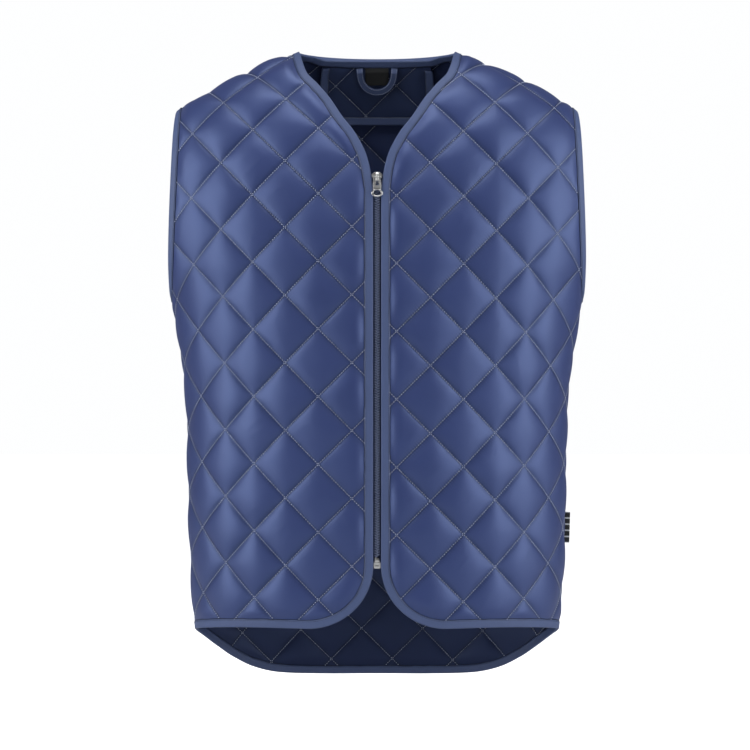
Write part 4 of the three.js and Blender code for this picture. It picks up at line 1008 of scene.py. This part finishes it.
def loopStitches():
    u, v, squareU, squareV, height = loopPath
    parts = []
    for side in (-1, 1):
        a = side * (loopShape["width"] / 2 - 1.3)
        pu, pv = u + a * squareU, v + a * squareV
        length = np.concatenate([[0], np.cumsum(np.hypot(np.diff(pu), np.diff(pv)))])
        at = np.arange(1.5, length[-1] - 1, 2.3)
        point, normal = clothPlace("back", np.interp(at, length, pu), np.interp(at, length, pv))
        point = point + normal * (np.interp(at, length, height) - loopShape["thickness"] * 1.04 - 0.02)[:, None]
        step = np.gradient(point, axis=0)
        parts.append((point, step / np.linalg.norm(step, axis=1, keepdims=True), -normal))
    return [np.concatenate(p) for p in zip(*parts)]


stitchMesh("hanger_loop_stitches", *loopStitches(), 1.7, 0.2, threadCloth)

labelShape = {"width": 30, "length": 30, "thickness": 1.0}
drops = np.concatenate([np.linspace(0, 5, 5), np.linspace(6, labelShape["length"] - tapeShape["width"], 14)])
labelHeight = strapHeight + (facingFront - 0.3 - strapHeight) * np.minimum(drops / 5, 1)
labelHeight = labelHeight - 0.5 * (drops / drops[-1]) ** 3
rows = [wrap("back", a + 0 * drops, strapTop - drops - 0.25 * (a / 15) ** 2, labelHeight - d * labelShape["thickness"]
             - 0.25 * softNoise(a / 9 + 0 * drops, drops / 9, 83))
        for a, d in roundedStrap(labelShape["width"], labelShape["thickness"])]
neckLabel = sweepStrip("neck_label", np.stack(rows, 1), labelCloth)
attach(neckLabel, "vest")
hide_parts("neck_label")

sideShape = {"drop": 549, "length": 37, "reach": 7, "thickness": 1.0, "stripes": 5}


def sideLabelSections():
    t = np.linspace(0, 1, 36)
    z = -sideShape["drop"] - t * sideShape["length"]
    u = sideAlong("front", z)
    top = float(flatHeight("front", sideAlong("front", -sideShape["drop"]), -sideShape["drop"]))
    v = top - t * sideShape["length"]
    root, reach, half = form["pressed"] + 0.3, sideShape["reach"], sideShape["thickness"] / 2
    ring = [(-half, root), (-0.9 * half, root + 2), (-0.8 * half, root + 4.5), (-0.9 * half, root + reach - 0.9),
            (-0.55 * half, root + reach - 0.3), (0, root + reach), (0.55 * half, root + reach - 0.3),
            (0.9 * half, root + reach - 0.9), (0.8 * half, root + 4.5), (0.9 * half, root + 2), (half, root)]
    sway = 0.35 * softNoise(t * 4, t * 0, 91)
    return np.stack([wrap("front", u + a + sway * (h - root) / reach, v, h) for a, h in ring], 1)


def makeStripes():  # plain bands across the small folded label, from its own run along the seam
    material = makeTape("stripedLabel", labelLook)
    tree = material.node_tree
    shader = next(n for n in tree.nodes if n.bl_idname == "ShaderNodeBsdfPrincipled")
    run = next(n for n in tree.nodes if n.bl_idname == "ShaderNodeUVMap")
    parts = tree.nodes.new("ShaderNodeSeparateXYZ")
    tree.links.new(run.outputs[0], parts.inputs[0])
    wave = tree.nodes.new("ShaderNodeMath")
    wave.operation = "PINGPONG"
    wave.inputs[1].default_value = sideShape["length"] / sideShape["stripes"] / 2
    tree.links.new(parts.outputs[0], wave.inputs[0])
    band = tree.nodes.new("ShaderNodeMath")
    band.operation = "LESS_THAN"
    band.inputs[1].default_value = 0.85
    tree.links.new(wave.outputs[0], band.inputs[0])
    mix = tree.nodes.new("ShaderNodeMix")
    mix.data_type = "RGBA"
    tree.links.new(band.outputs[0], mix.inputs[0])
    tree.links.new(shader.inputs["Base Color"].links[0].from_socket, mix.inputs[6])
    mix.inputs[7].default_value = (0.42, 0.44, 0.47, 1)
    tree.links.new(mix.outputs[2], shader.inputs["Base Color"])
    return material


sideLabel = sweepStrip("side_label", sideLabelSections(), makeStripes())
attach(sideLabel, "vest")
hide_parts("side_label")
print("stage: loop and labels made")

# Zip
zipShape = {"tapeWidth": 13, "tapeThickness": 0.7, "coilThickness": 1.8, "gap": 0.15,
            "sliderTop": -0.885 * form["neckDepth"], "sliderLength": 12.4, "dividerLength": 3.4, "fit": 0.3,
            "boxHeight": 7.4, "pinHeight": 5.6, "toothPitch": 2.9}
coilBack = -(form["pressed"] + 0.9) - 0.7 - zipShape["fit"] + 0.1
coilFront = coilBack + zipShape["fit"] + zipShape["coilThickness"]
coilTop = zipShape["sliderTop"] - zipShape["dividerLength"] - zipShape["fit"]
boxTop = zipFoot + 0.55 * zipShape["boxHeight"]


def zipTape(side):
    z = np.linspace(coilTop, boxTop + zipShape["fit"], 170)
    v = flatHeight("front", 0.0, z)
    width, thick = zipShape["tapeWidth"], zipShape["tapeThickness"]
    ring = [(0, 0.1), (0.15, 0), (4, 0), (8, 0.02), (12.6, 0), (13, 0.25), (13, 0.75), (12.6, 1), (8, 0.96), (4.4, 1),
            (3.9, 1.0), (0.3, 1.0), (0, 0.85)]
    ripple = 0.12 * softNoise(z / 14, z * 0, 95 + side)
    rows = [wrap("front", side * (zipShape["gap"] + a), v, coilBack - thick + d * thick - abs(ripple) * (a / width))
            for a, d in ring]
    return sweepStrip("zip_tape", np.stack(rows, 1), zipCloth)


for side, title in ((1, "left"), (-1, "right")):
    tape = zipTape(side)
    tape.name = "zip_tape_" + title + "_cloth"
    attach(tape, "vest")
    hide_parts("zip_tape_" + title)


def startPiece(name):
    piece = bpy.context.active_object
    piece.name = name
    return piece


def editFaces(piece, test):  # select the faces that pass a test of place and normal, and enter edit mode
    bpy.ops.object.mode_set(mode="EDIT")
    bpy.ops.mesh.select_mode(type="FACE")
    bpy.ops.mesh.select_all(action="DESELECT")
    bpy.ops.object.mode_set(mode="OBJECT")
    for polygon in piece.data.polygons:
        polygon.select = bool(test(polygon.center * 1000, polygon.normal))
    bpy.ops.object.mode_set(mode="EDIT")


def editPoints(piece, test):
    bpy.ops.object.mode_set(mode="EDIT")
    bpy.ops.mesh.select_mode(type="VERT")
    bpy.ops.mesh.select_all(action="DESELECT")
    bpy.ops.object.mode_set(mode="OBJECT")
    for vertex in piece.data.vertices:
        vertex.select = bool(test(vertex.co * 1000))
    bpy.ops.object.mode_set(mode="EDIT")


def leaveEdit():
    bpy.ops.object.mode_set(mode="OBJECT")


def applyPlace(piece):
    bpy.ops.object.select_all(action="DESELECT")
    piece.select_set(True)
    bpy.context.view_layer.objects.active = piece
    bpy.ops.object.transform_apply(location=True, rotation=True, scale=True)


def addBlock(name, x, y, z, place=(0, 0, 0)):  # a block in millimetres: x across, y outwards is minus, z up the zip
    bpy.ops.object.select_all(action="DESELECT")
    bpy.ops.mesh.primitive_cube_add(size=0.001, location=[c * 0.001 for c in place])
    piece = startPiece(name)
    piece.scale = (x, y, z)
    applyPlace(piece)
    return piece


def soften(piece, width, segments=3, angle=30):
    bevel = piece.modifiers.new("soft edges", "BEVEL")
    bevel.width = width * 0.001
    bevel.segments = segments
    bevel.limit_method = "ANGLE"
    bevel.angle_limit = math.radians(angle)
    bpy.context.view_layer.objects.active = piece
    bpy.ops.object.modifier_apply(modifier=bevel.name)
    bpy.ops.object.select_all(action="DESELECT")
    piece.select_set(True)
    bpy.context.view_layer.objects.active = piece
    bpy.ops.object.shade_smooth_by_angle(angle=math.radians(40))


def zipFrame(z):
    v = float(flatHeight("front", 0.0, z))
    at = wrap("front", 0.0, v, 0.0)
    up = wrap("front", 0.0, v + 1, 0.0) - wrap("front", 0.0, v - 1, 0.0)
    turn = Matrix.Rotation(math.atan2(-up[1], up[2]), 4, "X")
    return Matrix.Translation(Vector(at * 0.001)) @ turn


def setOnZip(pieces, z, shift=0.0):
    place = zipFrame(z) @ Matrix.Translation((0, -shift * 0.001, 0))
    for piece in pieces:
        piece.data.transform(place)


def joinPieces(name, pieces):
    bpy.ops.object.select_all(action="DESELECT")
    for piece in pieces:
        piece.select_set(True)
    bpy.context.view_layer.objects.active = pieces[0]
    bpy.ops.object.join()
    pieces[0].name = name
    return pieces[0]


# one tooth of the coil, then a copy at each pitch on either side
bpy.ops.object.select_all(action="DESELECT")
tooth = addBlock("tooth", 3.3, 1.7, 1.1)
editFaces(tooth, lambda c, n: n.x > 0.9)
bpy.ops.mesh.inset(thickness=0.00035)
bpy.ops.transform.translate(value=(0.0004, 0, 0))
leaveEdit()
soften(tooth, 0.3, 2)
toothMesh = tooth.data


def coilChain(side, name):
    z = np.arange(coilTop - 1.2, boxTop + zipShape["pinHeight"] + 0.8, -zipShape["toothPitch"])
    if side < 0:
        z = z - zipShape["toothPitch"] / 2
    points = np.array([v.co for v in toothMesh.vertices]) * 1000
    slant = math.radians(24)
    # the teeth lean by the coil's slant, and their heads meet past the middle
    x = points[:, 0] * math.cos(slant) - points[:, 2] * math.sin(slant)
    up = points[:, 0] * math.sin(slant) + points[:, 2] * math.cos(slant)
    points = np.stack([side * (x + 1.35), points[:, 1], up], -1)
    faces = [list(p.vertices)[::side] for p in toothMesh.polygons]
    spots, rings = [], []
    for k, level in enumerate(z):
        place = np.array(zipFrame(level))
        middle = (coilBack + zipShape["fit"] + coilFront) / 2
        local = points + np.array([0, -middle, 0])
        spots.append(local @ place[:3, :3].T + place[:3, 3] * 1000)
        rings += [[i + k * len(points) for i in f] for f in faces]
    return makeMesh(name, np.concatenate(spots), rings, [coilPlastic])


for side, title in ((1, "left"), (-1, "right")):
    chain = coilChain(side, "zip_teeth_" + title)
    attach(chain, "vest")
    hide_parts("zip_coil_" + title)
bpy.data.objects.remove(tooth)
print("stage: zip teeth made")

sliderShape = {"width": 11.6, "wall": 1.2, "bridge": 3.0, "rise": 3.4, "bridgeWall": 1.4, "bridgeLength": 12.2,
               "edge": 0.35}
faceLow = coilFront + zipShape["fit"]
backHigh = coilBack - zipShape["tapeThickness"] - zipShape["fit"]


def sliderPlate(name, low, high):
    plate = addBlock(name, sliderShape["width"], high - low, zipShape["sliderLength"], (0, -(low + high) / 2, 0))
    editFaces(plate, lambda c, n: True)
    bpy.ops.mesh.subdivide(number_cuts=5)
    leaveEdit()
    # the plate narrows below the divider and towards its rounded shoulders
    for below, above, share in ((-7, -0.8, 0.67), (-0.8, 0.8, 0.82), (4.0, 5.2, 0.93), (5.2, 7, 0.6)):
        editPoints(plate, lambda p: below < p.z <= above)
        bpy.ops.transform.resize(value=(share, 1, 1), center_override=(0, 0, 0))
        leaveEdit()
    editPoints(plate, lambda p: p.z > 5.9 and abs(p.x) < 0.9)
    bpy.ops.transform.translate(value=(0, 0, 0.0005))
    leaveEdit()
    soften(plate, sliderShape["edge"], 3)
    return plate


def archSlider():  # the bridge as a bar whose two ends are bent down in edit mode
    half, wall, width = sliderShape["bridgeLength"] / 2, sliderShape["bridgeWall"], sliderShape["bridge"]
    base = faceLow + sliderShape["wall"]
    top = base + sliderShape["rise"] + wall / 2
    bar = addBlock("bridge", width, wall, 2 * half, (0, -top, 0))
    editFaces(bar, lambda c, n: True)
    bpy.ops.mesh.subdivide(number_cuts=9)
    leaveEdit()
    drop = sliderShape["rise"] + wall / 2
    for limit, share in ((0.58, 0.1), (0.72, 0.18), (0.84, 0.3), (0.94, 0.5)):
        editPoints(bar, lambda p: abs(p.z) > limit * half)
        bpy.ops.transform.translate(value=(0, drop * share * 0.001, 0))
        leaveEdit()
    editPoints(bar, lambda p: abs(p.x) < 0.35 * width and p.y < -(top + 0.2) and abs(p.z) < 0.7 * half)
    bpy.ops.transform.translate(value=(0, 0.0003, 0))
    leaveEdit()
    soften(bar, 0.3, 3)
    return bar


def dressMetal(piece):
    piece.data.materials.clear()
    piece.data.materials.append(metal)


sliderMiddle = zipShape["sliderTop"] - zipShape["sliderLength"] / 2
frontPlate = sliderPlate("slider face", faceLow, faceLow + sliderShape["wall"])
backPlate = sliderPlate("slider back", backHigh - sliderShape["wall"], backHigh)
divider = addBlock("divider", 2.2, faceLow - backHigh + 1.2, 3.1, (0, -(faceLow + backHigh) / 2, 4.35))
soften(divider, 0.4)
bridge = archSlider()
slider = joinPieces("zip_slider_body", [frontPlate, backPlate, divider, bridge])
setOnZip([slider], sliderMiddle)
dressMetal(slider)
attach(slider, "vest")
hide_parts("zip_slider")
print("stage: slider made")

pullShape = {"length": 23.2, "head": 8.0, "waist": 8.6, "bar": 1.2, "thickness": 1.3, "window": 9.4, "slot": 2.1,
             "ringWidth": 13.4, "ringHeight": 9.6, "ringHole": 8.6, "rim": 0.22, "plateFoot": 14.4, "edge": 0.22}
pullHeight = faceLow + sliderShape["wall"] + sliderShape["rise"] - pullShape["thickness"] / 2 - 1.2 * zipShape["fit"]


def pullPlate():  # a plate with the window cut through it and a sunk field between its rims
    top, foot, inset = pullShape["bar"] / 2, -pullShape["plateFoot"], 2.2
    plate = addBlock("pull", pullShape["head"], pullShape["thickness"], top - foot, (0, 0, (top + foot) / 2))
    for side in (-1, 1):
        editFaces(plate, lambda c, n: side * n.y > 0.9)
        bpy.ops.mesh.inset(thickness=inset * 0.001)
        leaveEdit()
    windowTop, windowFoot = -pullShape["bar"] / 2, -pullShape["bar"] / 2 - pullShape["window"]
    editPoints(plate, lambda p: abs(p.x) < 2.5 and p.z > -4)
    bpy.ops.transform.translate(value=(0, 0, (windowTop - (top - inset)) * 0.001))
    leaveEdit()
    editPoints(plate, lambda p: abs(p.x) < 2.5 and p.z < -8)
    bpy.ops.transform.translate(value=(0, 0, (windowFoot - (foot + inset)) * 0.001))
    leaveEdit()
    editPoints(plate, lambda p: abs(p.x) < 2.5)
    narrower = pullShape["slot"] / (pullShape["head"] / 2 - inset)
    bpy.ops.transform.resize(value=(narrower, 1, 1), center_override=(0, 0, 0))
    leaveEdit()
    inner = (windowTop + windowFoot) / 2
    editFaces(plate, lambda c, n: abs(n.y) > 0.9 and abs(c.x) < 0.1 and abs(c.z - inner) < 0.6)
    bpy.ops.mesh.bridge_edge_loops()
    leaveEdit()
    editFaces(plate, lambda c, n: abs(n.y) > 0.9 and abs(c.x) < 0.1 and c.z < windowFoot)
    bpy.ops.mesh.inset(thickness=0.00075)
    thinner = (pullShape["thickness"] / 2 - pullShape["rim"]) / (pullShape["thickness"] / 2)
    bpy.ops.transform.resize(value=(1, thinner, 1), center_override=(0, 0, 0))
    leaveEdit()
    editPoints(plate, lambda p: abs(p.x) > 3 and p.z < -10)
    bpy.ops.transform.resize(value=(pullShape["waist"] / pullShape["head"] * 1.12, 1, 1), center_override=(0, 0, 0))
    leaveEdit()
    soften(plate, pullShape["edge"], 3)
    return plate


def pullRing():  # a turned ring pressed to an oval
    width, hole = pullShape["ringWidth"], pullShape["ringHole"]
    tube = (width - hole) / (width + hole)
    across = (width + hole) / 4
    up = pullShape["ringHeight"] / 2 / (1 + tube)
    bpy.ops.object.select_all(action="DESELECT")
    bpy.ops.mesh.primitive_torus_add(major_segments=56, minor_segments=14, major_radius=0.001,
                                     minor_radius=tube * 0.001,
                                     location=(0, 0, (-pullShape["length"] + pullShape["ringHeight"] / 2) * 0.001),
                                     rotation=(math.pi / 2, 0, 0))
    ring = startPiece("pull ring")
    ring.scale = (across, up, pullShape["thickness"] / 2 / tube)
    applyPlace(ring)
    bpy.ops.object.shade_smooth()
    return ring


pull = joinPieces("zip_ring_pull", [pullPlate(), pullRing()])
setOnZip([pull], sliderMiddle, pullHeight)
dressMetal(pull)
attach(pull, "zip_pull")
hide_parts("zip_pull")

boxShape = {"width": 8.0, "height": zipShape["boxHeight"], "wall": 0.9, "pinWidth": 6.0,
            "pinRise": zipShape["pinHeight"], "sunk": 0.28, "edge": 0.55}


def boxPieces():
    low = coilBack - zipShape["tapeThickness"] - zipShape["fit"] - boxShape["wall"] + 0.3
    high = coilFront + boxShape["wall"] - 0.2
    half = boxShape["height"] / 2
    block = addBlock("box", boxShape["width"], high - low, boxShape["height"], (0, -(low + high) / 2, 0))
    editFaces(block, lambda c, n: n.y < -0.9)
    bpy.ops.mesh.subdivide(number_cuts=3)
    leaveEdit()
    editPoints(block, lambda p: p.z < -0.9 * half)
    bpy.ops.transform.resize(value=(0.84, 1, 1), center_override=(0, 0, 0))
    leaveEdit()
    for side in (-1, 1):  # two shallow pockets on the face
        editFaces(block, lambda c, n: n.y < -0.9 and 0 < side * c.x < 2 and 0 < c.z < 2)
        bpy.ops.mesh.inset(thickness=0.00045)
        bpy.ops.transform.translate(value=(0, boxShape["sunk"] * 0.001, 0))
        leaveEdit()
    soften(block, boxShape["edge"], 3)
    rise = boxShape["pinRise"] + 1.0
    pin = addBlock("pin", boxShape["pinWidth"], coilFront - coilBack - zipShape["fit"], rise,
                   (0, -(coilFront + coilBack + zipShape["fit"]) / 2, half - 1.0 + rise / 2))
    editPoints(pin, lambda p: p.z > half + 2)
    bpy.ops.transform.resize(value=(0.8, 0.8, 1), center_override=(0, -(coilFront + coilBack) / 2 * 0.001, 0))
    leaveEdit()
    editPoints(pin, lambda p: p.z > half + 2 and p.x > 0)
    bpy.ops.transform.translate(value=(0, 0, -0.0016))
    leaveEdit()
    soften(pin, 0.3, 3)
    return [block, pin]


box = joinPieces("zip_retainer_box", boxPieces())
setOnZip([box], boxTop - boxShape["height"] / 2)
dressMetal(box)
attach(box, "vest")
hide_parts("zip_bottom_box")
print("stage: pull and box made")

# Floor, light and camera
studio = {
    "distance": 2.1, "aimX": -0.0024, "aimZ": -0.385, "width": 0.9, "floorZ": -0.80,
    "sideLight": 24.0, "topLight": 18.0, "fillLight": 1.0, "rimLight": 0.5, "worldLight": 0.12,
}


def addLight(name, place, aim, size, energy, color=(1, 1, 1)):
    data = bpy.data.lights.new(name, "AREA")
    data.shape = "RECTANGLE"
    data.size, data.size_y = size
    data.energy = energy
    data.color = color
    light = bpy.data.objects.new(name, data)
    light.location = place
    light.rotation_euler = (Vector(aim) - Vector(place)).to_track_quat("-Z", "Y").to_euler()
    bpy.context.scene.collection.objects.link(light)
    return light


camera = bpy.data.cameras.new("camera")
camera.sensor_width = 36
camera.lens = 36 * studio["distance"] / studio["width"]
cameraObject = bpy.data.objects.new("camera", camera)
cameraObject.location = (studio["aimX"], -studio["distance"], studio["aimZ"])
cameraObject.rotation_euler = (math.pi / 2, 0, 0)
bpy.context.scene.collection.objects.link(cameraObject)
bpy.context.scene.camera = cameraObject

addLight("leftBox", (-1.45, -0.72, -0.2), (0, 0, -0.38), (1.0, 1.9), studio["sideLight"])
addLight("rightBox", (1.45, -0.72, -0.2), (0, 0, -0.38), (1.0, 1.9), studio["sideLight"])
addLight("topBox", (0, -0.5, 1.3), (0, 0, -0.3), (1.4, 1.0), studio["topLight"])
addLight("frontFill", (0, -2.6, 0.5), (0, 0, -0.38), (1.2, 0.8), studio["fillLight"])
addLight("backLeft", (-1.3, 1.3, 0.2), (0, 0, -0.38), (0.8, 1.6), studio["rimLight"])
addLight("backRight", (1.3, 1.3, 0.2), (0, 0, -0.38), (0.8, 1.6), studio["rimLight"])

world = bpy.data.worlds.new("studioWorld")
bpy.context.scene.world = world
world.use_nodes = True
background = world.node_tree.nodes.get("Background")
background.inputs[0].default_value = (0.99, 0.995, 1, 1)
# the paper behind shows pale, and lights the cloth only a little
seen = world.node_tree.nodes.new("ShaderNodeLightPath")
level = world.node_tree.nodes.new("ShaderNodeMapRange")
level.inputs[3].default_value = studio["worldLight"]
level.inputs[4].default_value = 1.0
world.node_tree.links.new(seen.outputs["Is Camera Ray"], level.inputs[0])
world.node_tree.links.new(level.outputs[0], background.inputs[1])
bpy.context.scene.view_settings.view_transform = "Standard"

floorMaterial, add, calc, floorShader = newMaterial("paleFloor", (0.8, 0.805, 0.81), 0.85)
floorShader.inputs["Emission Color"].default_value = (1, 1, 1, 1)
straight = add("ShaderNodeLightPath").outputs["Is Camera Ray"]
floorMaterial.node_tree.links.new(calc("MULTIPLY", straight, 0.95), floorShader.inputs["Emission Strength"])
bpy.ops.object.select_all(action="DESELECT")
bpy.ops.mesh.primitive_plane_add(size=12, location=(0, 1.0, studio["floorZ"]))
floor = bpy.context.active_object
floor.name = "floor"
floor.data.materials.append(floorMaterial)
print("stage: studio made")
